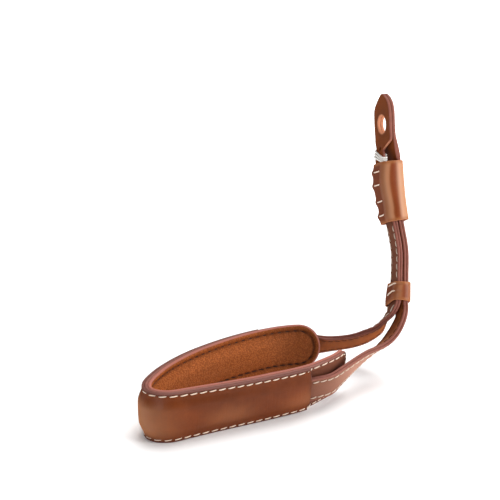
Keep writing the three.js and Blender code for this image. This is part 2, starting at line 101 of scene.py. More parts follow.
EYELET_HEIGHT = 7.0
EYELET_ACROSS = -1.4
EYELET_RADIUS = 1.1
CORD_HEIGHT = 3.4
CORD_SLANT = 0.37
CORD_MIDDLE = -0.8
CORD_HALF = 5.2
CORD_CLEAR = 0.12             # from the neck to the cord, and the cord's bend at its corners
CORD_BEND = 0.25
CORD_TURNS = 3
CORD_PITCH = 1.25             # from turn to turn, in the middle
CORD_FAN = 0.03               # by which the turns draw together for each millimetre across
CORD_LAY = 2.4                # length of one twist of its plies
CORD_PLIES = 3
CORD_RIPPLE = 0.10            # how far the plies stand out, over the cord's radius
SEAM_INSET = 1.25             # from the pad's edge to the row of stitches on its outside
LINING_INSET = 3.0            # and on its padded wrist side
STRAP_SEAM = STRAP_HALF - 1.7  # from the strap's middle to each of its rows of stitches
PAD_PITCH = 4.25
STRAP_PITCH = 3.9

# The wrist pad's route: place on the surface, lean of the upper edge in degrees, and lift off the
# surface.
PAD_ROUTE = (
    (21.0, 24.8, -16, 0), (15.0, 26.2, -15, 0), (8.0, 26.3, -14, 0), (-2.0, 23.6, -12, 0),
    (-12.5, 18.3, -11, 0), (-23.0, 11.2, -10, 0), (-33.5, 2.2, -9, 0), (-43.5, -8.0, -7, 0),
    (-52.0, -19.7, -5, 0), (-57.8, -31.1, -2, 0), (-60.2, -40.5, 0, 0), (-58.7, -46.7, 0, 0),
    (-54.0, -49.7, 0, 0), (-48.0, -49.8, 2, 0), (-41.5, -47.1, 5, 0), (-28.0, -41.2, 9, 0),
    (-15.0, -35.6, 11, 0), (-2.0, -30.0, 12, 0.3), (11.0, -24.2, 13, 1.0), (18.5, -18.4, 17, 1.5),
    (25.5, -10.0, 22, 1.2), (30.6, 0.5, 25, 0.4),
)
# The strap's arms and the stem above the keeper: place, lean, and turn of the front edge towards
# +X.
REAR_ARM = (
    (-2.8, 24.9, 11.3, -11, 0), (5.5, 28.2, 11.0, -7, 0), (12.5, 30.2, 10.8, 3, 0),
    (18.5, 31.1, 10.7, 19, 0), (24.6, 31.2, 10.9, 34, 0), (31.7, 30.5, 11.9, 40, 0),
    (36.9, 29.4, 13.2, 42, 0), (42.0, 27.8, 15.5, 43, 0), (46.2, 25.6, 18.9, 45, 0),
    (49.6, 22.4, 23.6, 49, 0), (52.8, 20.7, 28.9, 54, 4), (54.8, 20.0, 32.6, 58, 8),
)
FRONT_ARM = (
    (22.2, -18.0, 11.6, 18, 0), (27.1, -12.4, 12.6, 29, 0), (32.3, -6.3, 14.0, 39, 0),
    (36.6, -1.5, 15.2, 46, 0), (41.2, 3.0, 16.5, 52, 0), (46.0, 6.6, 17.8, 57, 8),
    (50.2, 9.2, 19.6, 60, 15), (54.2, 11.5, 23.0, 62, 18), (57.9, 13.9, 28.2, 62, 15),
    (59.8, 15.9, 32.2, 62, 10),
)
STEM_ROUTE = (
    (58.9, 19.0, 35.4, 62, 10), (59.2, 21.7, 42.3, 62, 10), (59.5, 24.8, 49.2, 63, 9),
    (60.0, 30.5, 61.5, 66, 7.5), (57.7, 36.0, 75.4, 69, 8), (55.9, 41.0, 89.0, 71, 11),
    (54.8, 45.3, 102.6, 74, 14), (53.6, 48.2, 113.0, 77, 16.5), (52.8, 50.0, 122.3, 80, 17),
    (52.1, 51.9, 140.0, 81, 17),
)
# Height above the sleeve, and how far the left flap's far and near sides are from the middle.
FLAP_OUTLINE = (
    (-22.0, 6.0, 6.0), (-3.0, 6.0, 6.0), (0.4, 6.0, 4.3), (4.6, 6.0, 3.5), (6.4, 6.0, 2.0),
    (7.4, 6.1, 3.3), (10.6, 8.7, 8.7), (24.0, 8.7, 8.6), (26.2, 8.7, 8.3), (28.2, 7.3, 7.8),
    (30.5, 5.3, 6.6), (32.4, 3.3, 4.6), (33.7, 1.7, 2.6), (34.6, 0.6, 0.6),
)
# Height above the sleeve, and the flap's inner and outer face from the stem.
LEFT_FACES = (
    (-22.0, 3.25, 4.4), (0.0, 3.25, 4.35), (2.0, 3.05, 4.35), (4.0, 2.55, 3.85),
    (6.2, 1.85, 3.2), (8.2, 1.15, 2.55), (10.4, 0.5, 1.95), (13.0, 0.15, 1.65),
)
RIGHT_FACES = (
    (-22.0, 3.25, 4.4), (-0.8, 3.25, 4.35), (0.6, 2.2, 4.4), (2.0, 1.9, 4.45),
    (4.0, 1.45, 3.95), (6.2, 0.95, 3.3), (8.2, 0.55, 2.65), (10.4, 0.25, 2.05),
    (13.0, 0.15, 1.65),
)
# Height up a band, how far its left wall stands out outside and inside, and its far wall.
KEEPER_SHAPE = (
    (0.0, 1.0, 1.0, 0.9), (2.4, 1.2, 0.8, 0.5), (6.4, 0.9, 0.2, 0.1), (10.6, 0.2, 0.0, 0.0),
)
SLEEVE_SHAPE = (
    (0.0, -0.1, 0.0, 0.0), (3.8, 0.4, 0.0, 0.0), (7.0, 0.0, 0.0, 0.0), (11.0, 0.3, 0.0, 0.0),
    (14.5, 0.7, 0.0, 0.0), (19.0, 1.1, 0.0, 0.0), (22.5, 1.1, 0.0, 0.0), (26.0, 0.8, 0.0, 0.0),
    (30.5, 0.0, 0.0, 0.0),
)
# Heights of a band's stitches, and where each starts and ends round the band from its near left
# corner, with how much higher it ends.
KEEPER_STITCHES = (4.7, 9.1)
KEEPER_THREAD = (-8.2, 0.0, 1.0)
SLEEVE_STITCHES = (4.1, 11.1, 19.2, 25.9)
SLEEVE_THREAD = (-9.5, -1.6, 0.0)


def size(name, description, millimetres):
    """A length property, which Blender keeps in metres."""
    return FloatProperty(
        name=name, description=description, default=millimetres * METRES, unit="LENGTH")


class StrapSizes(bpy.types.PropertyGroup):
    """Sizes of the strap's finish that can be changed without leaving the frame."""
    thread: size("Thread", "Diameter of the sewing thread", 0.56)
    pad_stitch: size("Pad Stitch", "Pitch of the stitches round the pad", PAD_PITCH)
    strap_stitch: size("Strap Stitch", "Pitch of the stitches along the strap", STRAP_PITCH)
    edge_round: size("Edge Round", "How far a painted edge bulges", 0.42)
    cord: size("Cord", "Diameter of the white binding cord", 0.92)


def linear(code):
    """An sRGB hex colour as linear red, green, blue and alpha."""
    channels = [int(code[i:i + 2], 16) / 255 for i in (1, 3, 5)]
    return (*(c / 12.92 if c <= 0.04045 else ((c + 0.055) / 1.055) ** 2.4 for c in channels), 1.0)


def colour(name, description, code):
    """A colour property that starts from an sRGB hex colour."""
    return FloatVectorProperty(
        name=name, description=description, subtype="COLOR", size=4, min=0, max=1,
        default=linear(code))


class StrapColours(bpy.types.PropertyGroup):
    """Colours of the strap's leathers, edge paint and threads."""
    cover: colour("Cover", "Waxed outer leather of the pad", "#692f0d")
    base: colour("Base", "Middle leather of the pad", "#6c3c29")
    lining: colour("Lining", "Pebbled leather on the wrist side", "#a7571f")
    strap: colour("Strap", "Narrow strap", "#6c3f2c")
    warm: colour("Inner Ply", "The strap's ply on the wrist side", "#8c4a22")
    band: colour("Bands", "Keeper and sleeve", "#74330e")
    tab: colour("Tab", "Two flaps of the tab", "#713714")
    paint: colour("Edge Paint", "Painted leather edges", "#845044")
    thread: colour("Thread", "Waxed sewing thread", "#f4dcc6")
    bobbin: colour("Lining Thread", "Thread on the wrist side", "#33160a")
    cord: colour("Cord", "White binding cord", "#f6f2ec")


# Paler tones laid on as painted highlights and sheen, a paler tone along a band's rims, and
# leather's raw fibre where it was cut.
COVER_HIGHLIGHT = linear("#d39468")
STRAP_HIGHLIGHT = linear("#bd8d7a")
INNER_PLY_HIGHLIGHT = linear("#b07a5c")
BAND_HIGHLIGHT = linear("#cc966e")
BAND_HEM = linear("#94582f")
BAND_CUT = linear("#a8673f")
TAB_CUT = linear("#ba7c5c")


def chosen(context):
    """The panel's sizes, in millimetres, and its colours, each by its name."""
    sizes, colours = context.scene.strap_sizes, context.scene.strap_colours
    return (
        SimpleNamespace(**{key: getattr(sizes, key) / METRES for key in sizes.__annotations__}),
        SimpleNamespace(**{
            key: tuple(getattr(colours, key)) for key in colours.__annotations__}))


# ---------------------------------------------------------------- routes
Route = namedtuple("Route", "place point along width normal")
ROUTE_STEP = 0.5
ROUTE_RUN_OUT = 6.0           # a route goes on straight this far past its ends


def unit(vectors):
    """Vectors over their own lengths."""
    return vectors / np.linalg.norm(vectors, axis=-1, keepdims=True)


def ease(value):
    """Rises from 0 to 1 as 3t squared less 2t cubed, level at both ends."""
    t = np.clip(value, 0, 1)
    return t * t * (3 - 2 * t)


def hump(value):
    """A bell curve, 1 at zero: e to the power of minus the square."""
    return np.exp(-np.square(value))


def width_direction(lean, turn):
    """The upper edge's direction: it leans from upright towards -Y and turns on towards +X."""
    tip, swing = np.radians(lean), np.radians(turn)
    return np.stack(
        [np.sin(swing) * np.sin(tip), -np.cos(swing) * np.sin(tip), np.cos(tip)], -1)


def stations(rows):
    """Points and width directions of rows of x, y, z, lean and turn."""
    table = np.array(rows, float)
    return table[:, :3], width_direction(table[:, 3], table[:, 4])


def run_along(line):
    """Length along a line of points to each of them."""
    return np.append(0, np.cumsum(np.linalg.norm(np.diff(line, axis=0), axis=1)))


def sample(values, places, at):
    """Columns of values that belong to places, read between them at an array of any shape."""
    return np.stack([np.interp(at, places, column) for column in values.T], -1)


def bell_weights(reach, spread):
    """Weights of a running mean under a bell curve spread samples wide."""
    weights = hump(np.arange(-reach, reach + 1) / (spread * math.sqrt(2)))
    return weights / weights.sum()


def catmull_rom(values, at, centripetal):
    """A cubic through values, read at positions counted in values.

    Each span is the Hermite cubic of its two ends. A uniform one takes half the difference of the
    neighbours as its slope; a centripetal one weighs the chords by the root of their lengths.
    """
    outer = np.vstack([2 * values[:1] - values[1:2], values, 2 * values[-1:] - values[-2:-1]])
    i = np.clip(np.floor(at).astype(int), 0, len(values) - 2)
    t = (at - i)[:, None]
    a, b, c, d = (outer[i + k] for k in range(4))
    if centripetal:
        before, span, after = (
            np.sqrt(np.linalg.norm(q - p, axis=1))[:, None] for p, q in ((a, b), (b, c), (c, d)))
        start = ((b - a) / before - (c - a) / (before + span) + (c - b) / span) * span
        end = ((c - b) / span - (d - b) / (span + after) + (d - c) / after) * span
    else:
        start, end = (c - a) / 2, (d - b) / 2
    return (b + start * t + (3 * (c - b) - 2 * start - end) * t**2
            + (2 * (b - c) + start + end) * t**3)


def soften(values, spread):
    """Each value averaged with its neighbours under a bell curve spread samples wide."""
    reach = max(1, int(3 * spread))
    weights = bell_weights(reach, spread)
    before = 2 * values[0] - values[reach:0:-1]
    after = 2 * values[-1] - values[-2:-reach - 2:-1]
    longer = np.vstack([before, values, after])
    return np.stack([np.convolve(longer[:, k], weights, "valid") for k in range(3)], -1)


def make_route(points, widths, smoothing=1.6):
    """A smooth route through stations, with frames every half millimetre.

    A frame has the point, the direction along, the width direction squared up to it, and the
    normal, which is along times width and points out of the loop.
    """
    at = np.linspace(0, len(points) - 1, 40 * (len(points) - 1) + 1)
    line, edge = catmull_rom(points, at, True), catmull_rom(widths, at, False)
    length = run_along(line)
    place = np.linspace(0, length[-1], int(length[-1] / ROUTE_STEP) + 1)
    line, edge = (
        soften(sample(v, length, place), smoothing / ROUTE_STEP) for v in (line, edge))
    along = unit(np.gradient(line, place, axis=0))
    width = unit(edge - along * np.sum(edge * along, -1, keepdims=True))
    first, last = line[0] - ROUTE_RUN_OUT * along[0], line[-1] + ROUTE_RUN_OUT * along[-1]
    line = np.vstack([first, line, last])
    place = np.concatenate([[-ROUTE_RUN_OUT], place, [place[-1] + ROUTE_RUN_OUT]])
    along, width = (np.vstack([v[:1], v, v[-1:]]) for v in (along, width))
    return Route(place, line, along, width, np.cross(along, width))


def read(route, values, place):
    """A route's column of vectors at places of any shape, straight between its frames."""
    return sample(values, route.place, place)


def spot(route, place, across, out):
    """The point at a place along a route, so far across it and so far out of its face."""
    place, across, out = np.broadcast_arrays(place, across, out)
    return (read(route, route.point, place)
            + read(route, route.width, place) * across[..., None]
            + read(route, route.normal, place) * out[..., None])


def length_of(route):
    """A route's length without its run-outs."""
    return route.place[-1] - ROUTE_RUN_OUT


def table_at(table, place, column, spread=0.0):
    """A table's column at a place, straight between its rows, averaged over a spread each way."""
    rows = np.array(table, float)
    near = np.asarray(place)[..., None] + spread * np.linspace(-1, 1, 7)
    return np.interp(near, rows[:, 0], rows[:, column]).mean(-1)


def make_pad_route():
    """The middle line of the pad's width, between its base and its cover."""
    table = np.array(PAD_ROUTE, float)
    points = np.column_stack([table[:, :2], PAD_RADIUS + table[:, 3]])
    return make_route(points, width_direction(table[:, 2], np.zeros(len(table))))


pad_route = make_pad_route()
pad_length = length_of(pad_route)
cover_ends = (COVER_INSET, pad_length - COVER_INSET)
stem_route = make_route(*stations(STEM_ROUTE))


def stem_stations(side):
    """Stations of one arm beside the stem: side is -1 for the rear arm and 1 for the front one."""
    first = LEAVE_FROM if side < 0 else STEM_CLEAR
    count = round((STRAP_TOP - first) / STATION_STEP)
    place = np.linspace(first, STRAP_TOP, count + 1)
    leaving = LEAVE_BY * np.clip(1 - place / LEAVE_BELOW, 0, 1) ** 2 * (side < 0)
    return (spot(stem_route, place, 0, side * (ARM_OFFSET + leaving)),
            read(stem_route, stem_route.width, place))


def channel_stations():
    """Stations of the strap in the pad's channel."""
    count = round((cover_ends[1] - cover_ends[0]) / STATION_STEP)
    place = np.linspace(*cover_ends, count + 1)
    drop = STRAP_DROP * ease((place - cover_ends[1]) / STRAP_DROP_LENGTH + 1)
    return (spot(pad_route, place, -drop, STRAP_SEAT + STRAP_LEVEL),
            read(pad_route, pad_route.width, place))


def make_strap_route():
    """The strap's middle line: down beside the stem, through the pad's channel and up again."""
    rear_stem, rear, channel, front, front_stem = (
        stem_stations(-1), stations(REAR_ARM), channel_stations(), stations(FRONT_ARM),
        stem_stations(1))
    points, widths = (
        np.vstack([rear_stem[k][::-1], rear[k][::-1], channel[k], front[k], front_stem[k]])
        for k in range(2))
    return make_route(points, widths, 1.4)


strap_route = make_strap_route()
strap_length = length_of(strap_route)


def flap_faces(side, height):
    """The inner and outer face of a flap from the stem at heights above the sleeve."""
    table = LEFT_FACES if side < 0 else RIGHT_FACES
    inner, outer = (table_at(table, height, column, FACE_SPREAD) for column in (1, 2))
    return inner - FLAP_DRAWN_IN * ease(height / NECK_SPREAD), outer


def find_shift():
    """From the routes' own place to the frame's: lays the left flap's outline on its CAD node."""
    height = np.unique([row[0] for row in FLAP_OUTLINE + LEFT_FACES + RIGHT_FACES] + [-12, -4, 22])
    corners = np.concatenate([
        spot(stem_route, SLEEVE_TOP + height, way * table_at(FLAP_OUTLINE, height, column),
             -table_at(LEFT_FACES, height, face))
        for way, column in ((-1, 1), (1, 2)) for face in (1, 2)])
    low, high = (np.array(corner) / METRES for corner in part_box("flap_left"))
    return (low + high - corners.min(0) - corners.max(0)) / 2


shift = find_shift()


# ---------------------------------------------------------------- meshes
def grid(rows, columns, wrap_rows, wrap_columns):
    """Four-sided faces of a grid of points, closed on itself where it wraps."""
    index = np.arange(rows * columns).reshape(rows, columns)
    if wrap_rows:
        index = np.vstack([index, index[:1]])
    if wrap_columns:
        index = np.hstack([index, index[:, :1]])
    corners = (index[:-1, :-1], index[:-1, 1:], index[1:, 1:], index[1:, :-1])
    return np.stack(corners, -1).reshape(-1, 4)


def close_shell(mesh):
    """Merges points that coincide, which closes poles and seams, and turns the faces outwards."""
    shell = bmesh.new()
    shell.from_mesh(mesh)
    bmesh.ops.remove_doubles(shell, verts=shell.verts, dist=1e-6)
    bmesh.ops.recalc_face_normals(shell, faces=shell.faces)
    shell.to_mesh(mesh)
    shell.free()


def place_object(name, data, location=(0.0, 0.0, 0.0), turn=(0.0, 0.0, 0.0)):
    """An object in the scene, at a place in metres."""
    held = bpy.data.objects.new(name, data)
    bpy.context.scene.collection.objects.link(held)
    held.location, held.rotation_euler = location, turn
    return held


def make_piece(name, points, faces, material, replaced=(), marks=None, caps=()):
    """A smooth closed piece from points in millimetres, riding on the strap.

    marks are numbers for each point that its material reads, and caps are more faces.
    """
    mesh = bpy.data.meshes.new(name)
    placed = (points.reshape(-1, 3) + shift) * METRES
    if not np.isfinite(placed).all():
        raise RuntimeError(f"{name} has points that are no numbers")
    mesh.from_pydata(placed.tolist(), [], faces.tolist() + [list(cap) for cap in caps])
    for mark, values in (marks or {}).items():
        layer = mesh.attributes.new(mark, "FLOAT", "POINT")
        layer.data.foreach_set("value", np.ravel(values).astype(np.float32))
    close_shell(mesh)
    mesh.shade_smooth()
    mesh.materials.append(material)
    piece = place_object(name, mesh)
    if replaced:
        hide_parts(*replaced)
    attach(piece, "root")
    return piece


EDGE_STEPS = 7                # columns round a painted edge
EDGE_FULLNESS = 0.8           # under 1, the edge's section is fuller than a half circle
CUT_STEPS = 5                 # rows that close a cut end
PAINTED_LIP = 0.3             # how far paint runs onto a face


def columns_across(count):
    """Places from -1 to 1, closer together towards both ends: part even, part a sine."""
    x = np.linspace(-1, 1, count)
    return 0.45 * x + 0.55 * np.sin(x * math.pi / 2)


def strip(route, places, half, facing, low, high, bulge, columns, cut):
    """A closed leather strip: points, faces and marks.

    In its flat state a point has a place along the route, a distance across and a height out of the
    face. Columns cross the upper face at height high(place, across), turn round the right edge on a
    half circle that bulges past the face in the direction facing (along, across), come back on the
    lower face and turn round the left edge. With cut, the two end rows close to a line over a few
    rows that bulge along the route.
    """
    upper, lower = columns_across(columns[0]), columns_across(columns[1])[::-1]
    turn = np.linspace(math.pi / 2, -math.pi / 2, EDGE_STEPS + 2)[1:-1]
    reach, rise = bulge * np.cos(turn) ** EDGE_FULLNESS, np.sin(turn)
    if cut:
        close = np.linspace(0, math.pi / 2, CUT_STEPS + 1)[:-1]
        ends = bulge * np.cos(close)
        shrink = np.concatenate([np.sin(close), np.ones(len(places)), np.sin(close)[::-1]])
        along_end = np.concatenate([-ends, np.zeros(len(places)), ends[::-1]])
        places, half, facing = (
            np.concatenate([np.repeat(v[:1], CUT_STEPS, 0), v, np.repeat(v[-1:], CUT_STEPS, 0)])
            for v in (places, half, facing))
    else:
        shrink, along_end = np.ones(len(places)), np.zeros(len(places))
    s, h = places[:, None], half[:, None]
    ds, dw = facing[:, :1], facing[:, 1:]

    def face(k, height):
        across = h * k
        return s + 0 * across, across, height(s + 0 * across, across), 0 * across

    def edge(side, out, up):
        across = side * h + 0 * out
        top, bottom = (f(s + 0 * across, across) for f in (high, low))
        n = (top + bottom) / 2 + (top - bottom) / 2 * up
        return s + ds * out, side * (h + dw * out), n, 1 + 0 * across

    parts = (face(upper, high), edge(1, reach, rise), face(lower, low), edge(-1, reach, -rise))
    place, across, out, paint = (np.hstack(v) for v in zip(*parts))
    middle = (high(place, across) + low(place, across)) / 2
    out = middle + (out - middle) * shrink[:, None]
    place = place + along_end[:, None]
    from_edge = h - np.abs(across)
    paint = np.clip(np.maximum(paint, 1 - from_edge / PAINTED_LIP), 0, 1)
    paint = np.where(shrink[:, None] < 0.999, 1.0, paint)
    points = spot(route, place, across, out)
    faces = grid(*place.shape, False, True)
    return points, faces, {"paint": paint, "flat_place": place, "flat_across": across}


def straight_rows(start, end, half, step):
    """Rows of a strip with straight cut ends: places, half widths and edge directions."""
    places = np.linspace(start, end, int((end - start) / step) + 1)
    return places, np.full(len(places), half), np.tile([0.0, 1.0], (len(places), 1))


def round_rows(bulge, step):
    """Rows of the pad with its half-circle ends, which close to a point: as straight_rows."""
    radius = PAD_RADIUS - bulge
    angle = np.linspace(0, math.pi / 2, 25)
    head = bulge + radius * (1 - np.cos(angle))
    body = np.linspace(PAD_RADIUS, pad_length - PAD_RADIUS, int(pad_length / step))[1:-1]
    places = np.concatenate([head, body, pad_length - head[::-1]])
    ones = np.ones(len(body))
    half = radius * np.concatenate([np.sin(angle), ones, np.sin(angle)[::-1]])
    facing = np.column_stack([
        np.concatenate([-np.cos(angle), 0 * ones, np.cos(angle)[::-1]]),
        np.concatenate([np.sin(angle), ones, np.sin(angle)[::-1]])])
    return places, half, facing


def from_outline(place, across):
    """Distance from the pad's outline, a stadium, to a point in it."""
    past = np.maximum(PAD_RADIUS - place, place - (pad_length - PAD_RADIUS))
    return PAD_RADIUS - np.hypot(np.maximum(past, 0), across)


def in_channel(across):
    """1 over the strap's channel and 0 beside it, with an eased slope between."""
    return 1 - ease((np.abs(across) - CHANNEL_HALF) / CHANNEL_SLOPE)


def channel_at(place):
    """Depth of the channel: full under the cover, running out past its ends."""
    past = np.maximum(np.maximum(cover_ends[0] - place, place - cover_ends[1]), 0)
    return CHANNEL_DEPTH * (1 - ease(past / CHANNEL_FADE))


# ---------------------------------------------------------------- heights of the pad's faces
# Height of each layer's two faces at the pad's edge. The three layers are drawn almost touching
# there, as glued and painted edges are.
COVER_EDGE = (0.10, 1.40)
BASE_EDGE = (-1.34, 0.06)
LINING_EDGE = (-2.62, -1.38)
COVER_RISE = STRAP_SEAT + STRAP_THICKNESS
COVER_FLAT = 4.4              # the cover's rise ends this far from its middle,
COVER_FLANK = 6.2             # and takes this much width
COVER_CROWN = 0.42
CROWN_HALF = 8.0
PADDING = 0.95                # how far the padding lifts the lining's middle,
PADDING_FLANK = 6.5           # and the width over which it does
# Depth and width of the valley that each row of stitches pulls.
COVER_VALLEY = (0.18, 0.45)
BASE_VALLEY = (0.16, 0.45)
LINING_VALLEY = (0.55, 0.8)
STRAP_VALLEY = (0.13, 0.62)
# Places along the pad and back from the strap's end about which painted highlights and painted
# shade are laid.
BEND_PLACE = 104.0            # the middle of the pad's bend
LINING_SHADE_END = 42.0            # the lining is darkened up to here
FRONT_ARM_PLACE = 112.0       # the middle of the strap's front arm


def seam_valley(distance, place, pitch, depth, width):
    """The thread draws the leather in along its row, most at the holes between two stitches."""
    return depth * hump(distance / width) * (1 + 0.45 * np.cos(2 * math.pi * place / pitch))


def cover_low(place, across):
    return COVER_EDGE[0] + COVER_RISE * in_channel(across)


def cover_high(place, across):
    """The cover lies flat at its edges and swells over the strap: an eased step and a parabola."""
    rise = COVER_RISE * (1 - ease((np.abs(across) - COVER_FLAT) / COVER_FLANK))
    crown = COVER_CROWN * np.clip(1 - (across / CROWN_HALF) ** 2, 0, 1)
    seam = seam_valley(
        np.abs(across) - (PAD_RADIUS - SEAM_INSET), place, PAD_PITCH, *COVER_VALLEY)
    return COVER_EDGE[1] + rise + crown - seam


def base_high(place, across):
    under = channel_at(place) * in_channel(across)
    seam = seam_valley(
        from_outline(place, across) - SEAM_INSET, place, PAD_PITCH, *BASE_VALLEY)
    return BASE_EDGE[1] - under - seam * (channel_at(place) < CHANNEL_DEPTH)


def base_low(place, across):
    return BASE_EDGE[0] - channel_at(place) * in_channel(across)


def lining_high(place, across):
    return LINING_EDGE[1] - channel_at(place) * in_channel(across)


def lining_low(place, across):
    """The padded wrist side.

    Inside the row of stitches it swells as an eased step, more where the strap's channel pushes it
    out. A bell-shaped valley follows the stitches, a small roll lies outside them, and slow waves
    of a tenth of a millimetre keep the soft leather from lying even. Just inside the stitches it
    puckers with their pitch and with a shorter one.
    """
    inside = from_outline(place, across)
    swell = (PADDING + channel_at(place)) * ease((inside - LINING_INSET) / PADDING_FLANK)
    valley = seam_valley(inside - LINING_INSET, place, PAD_PITCH, *LINING_VALLEY)
    roll = 0.30 * hump((inside - 1.3) / 1.0)
    waves = 0.10 * np.sin(place / 5.3 + 1.3 * np.sin(across / 3.1)) * ease(inside / 4)
    lean = place + 0.35 * across
    pucker = hump((inside - LINING_INSET - 1.9) / 1.6) * (
        0.16 * np.cos(2 * math.pi * lean / PAD_PITCH) + 0.07 * np.sin(2 * math.pi * lean / 2.3))
    return LINING_EDGE[0] - roll - swell + valley - waves - pucker


# ---------------------------------------------------------------- threads
STITCH_REACH = 0.42           # half a stitch's length over the pitch
STITCH_SLANT = 0.22           # half its rise across the row
STITCH_RINGS = 7              # circles along it, and points on a circle
STITCH_SIDES = 7
# How high a stitch's middle stands over the pad's outside, the lining and the strap.
PAD_LIFT = 0.36
LINING_LIFT = 0.10
STRAP_LIFT = 0.30


def stitches(start, end, out, radius, lift):
    """Short threads from start points to end points.

    Along a stitch its middle line rises as the root of a sine above the line between the ends,
    which lie under the leather. Round it the thread is a circle whose radius swells towards the
    middle.
    """
    t = np.linspace(0, 1, STITCH_RINGS)[None, :, None]
    bow = np.sin(math.pi * t)
    line = start[:, None] + (end - start)[:, None] * t
    line = line + out[:, None] * (lift * np.sqrt(bow) - radius * 0.9)
    along = unit(end - start)[:, None]
    side = np.cross(out[:, None], along)
    angle = np.linspace(0, 2 * math.pi, STITCH_SIDES, endpoint=False)[:, None]
    size = (radius * (0.5 + 0.5 * np.sqrt(bow)))[..., None]
    ring = np.cos(angle) * side[:, :, None] + np.sin(angle) * out[:, None, None]
    points = line[:, :, None] + size * ring
    each = (np.arange(len(start)) * STITCH_RINGS * STITCH_SIDES)[:, None]
    one = grid(STITCH_RINGS, STITCH_SIDES, False, True)
    first = np.arange(STITCH_SIDES) + each
    caps = np.vstack([first, first + (STITCH_RINGS - 1) * STITCH_SIDES])
    return points.reshape(-1, 3), (one + each[..., None]).reshape(-1, 4), caps.tolist()


def strap_thread(centre, across, side, pitch, radius):
    """A row of stitches along the strap, on its outer face if side is 1 and its inner if -1."""
    start, end = (
        spot(strap_route, centre + way * STITCH_REACH * pitch, across + way * STITCH_SLANT,
             side * STRAP_LEVEL)
        for way in (-1, 1))
    out = side * read(strap_route, strap_route.normal, centre)
    return stitches(start, end, out, radius, STRAP_LIFT)


def joined(parts):
    """Several sets of points, faces and caps as one."""
    points, faces, caps, count = [], [], [], 0
    for some, quads, ends in parts:
        points.append(some)
        faces.append(quads + count)
        caps.extend([[i + count for i in cap] for cap in ends])
        count += len(some)
    return np.vstack(points), np.vstack(faces), caps


def round_the_pad(distance, inset):
    """Place and distance across, so far along the closed row of stitches round the pad.

    The row goes along one side and round one end on a half circle, and its other half is the same
    turned about the pad's middle.
    """
    radius = PAD_RADIUS - inset
    straight = pad_length - 2 * PAD_RADIUS
    half = straight + math.pi * radius
    d = np.mod(distance, half)
    back = np.mod(distance, 2 * half) >= half
    turn = np.maximum(d - straight, 0) / radius
    place = PAD_RADIUS + np.minimum(d, straight) + radius * np.sin(turn)
    across = radius * np.cos(turn)
    return np.where(back, pad_length - place, place), np.where(back, -across, across)


def pad_thread(height, side, inset, pitch, radius, lift):
    """The closed row of stitches round the pad on one of its faces."""
    total = 2 * (pad_length - 2 * PAD_RADIUS + math.pi * (PAD_RADIUS - inset))
    count = round(total / pitch)
    centre = (np.arange(count) + 0.5) * total / count
    reach = STITCH_REACH * total / count
    middle, over = round_the_pad(centre, inset)
    slant = STITCH_SLANT * np.where(over > 0, 1, -1)
    ends = []
    for way in (-1, 1):
        place, across = round_the_pad(centre + way * reach, inset)
        across = across + way * slant
        ends.append(spot(pad_route, place, across, height(place, across)))
    out = side * read(pad_route, pad_route.normal, middle)
    return stitches(*ends, out, radius, lift)


# ---------------------------------------------------------------- materials
MIX_A, MIX_B, MIX_RESULT = 6, 7, 2     # a Mix node's sockets for colours
PORE = 0.4
PORE_DEPTH = 0.02
PEBBLE = 0.68
PEBBLE_WANDER = 0.4           # how far the pebbles are drawn out of round
PEBBLE_HEIGHT = 0.13
GRAIN = 0.35                  # the finest grain on the pebbles, and its height
GRAIN_HEIGHT = 0.03
PAINT_ROUGHNESS = 0.40
PAINT_SMEAR = 2.2             # edge paint changes its tone over this length
FIBRE = 0.3                   # a thread's fibres, and their height
FIBRE_HEIGHT = 0.08


def add(tree, kind, sockets=None, **settings):
    """Adds a node, sets its properties, and fills its sockets with values or links."""
    node = tree.nodes.new(kind)
    for name, value in settings.items():
        setattr(node, name, value)
    for key, value in (sockets or {}).items():
        if isinstance(value, bpy.types.NodeSocket):
            tree.links.new(value, node.inputs[key])
        else:
            node.inputs[key].default_value = value
    return node


def mix(tree, share, under, over, **settings):
    """One colour laid over another by a share."""
    sockets = {0: share, MIX_A: under, MIX_B: over}
    return add(tree, "ShaderNodeMix", sockets, data_type="RGBA", **settings).outputs[MIX_RESULT]


def between(tree, share, low, high):
    """A number that lies a share of the way from one to another."""
    return add(tree, "ShaderNodeMix", {0: share, 2: low, 3: high}).outputs[0]


def carry(tree, value, source, target):
    """A number carried from one range to another and held at its ends."""
    sockets = dict(enumerate((value, *source, *target)))
    return add(tree, "ShaderNodeMapRange", sockets).outputs[0]


def noise(tree, where, length, detail=2.0, roughness=0.5):
    """A cloudy pattern with features of a length in millimetres."""
    return add(tree, "ShaderNodeTexNoise", {
        "Vector": where, "Scale": per_metre(length), "Detail": detail, "Roughness": roughness})


def mark(tree, name, share=1.0):
    """A share of the number that a piece's points carry under a name."""
    carried = add(tree, "ShaderNodeAttribute", attribute_name=name).outputs["Fac"]
    return add(tree, "ShaderNodeMath", {0: carried, 1: share}, operation="MULTIPLY").outputs[0]


def bump(tree, height, depth, normal=None):
    """A normal that follows heights of a depth in millimetres, on top of another normal."""
    sockets = {"Height": height, "Strength": 1.0, "Distance": depth * METRES}
    if normal is not None:
        sockets["Normal"] = normal
    return add(tree, "ShaderNodeBump", sockets).outputs["Normal"]


def per_metre(length):
    """A pattern's scale for features of a length in millimetres."""
    return 1 / (length * METRES)


def scaled(rgba, factor):
    """A colour made darker or lighter."""
    return (*(min(1.0, c * factor) for c in rgba[:3]), 1.0)


def new_material(name):
    """An empty material, its tree, and the place on the object."""
    material = bpy.data.materials.new(name)
    material.use_nodes = True
    tree = material.node_tree
    tree.nodes.clear()
    return material, tree, add(tree, "ShaderNodeTexCoord").outputs["Object"]


def finish(tree, sockets):
    """Ends a material in one shader."""
    shader = add(tree, "ShaderNodeBsdfPrincipled", sockets)
    add(tree, "ShaderNodeOutputMaterial", {"Surface": shader.outputs["BSDF"]})


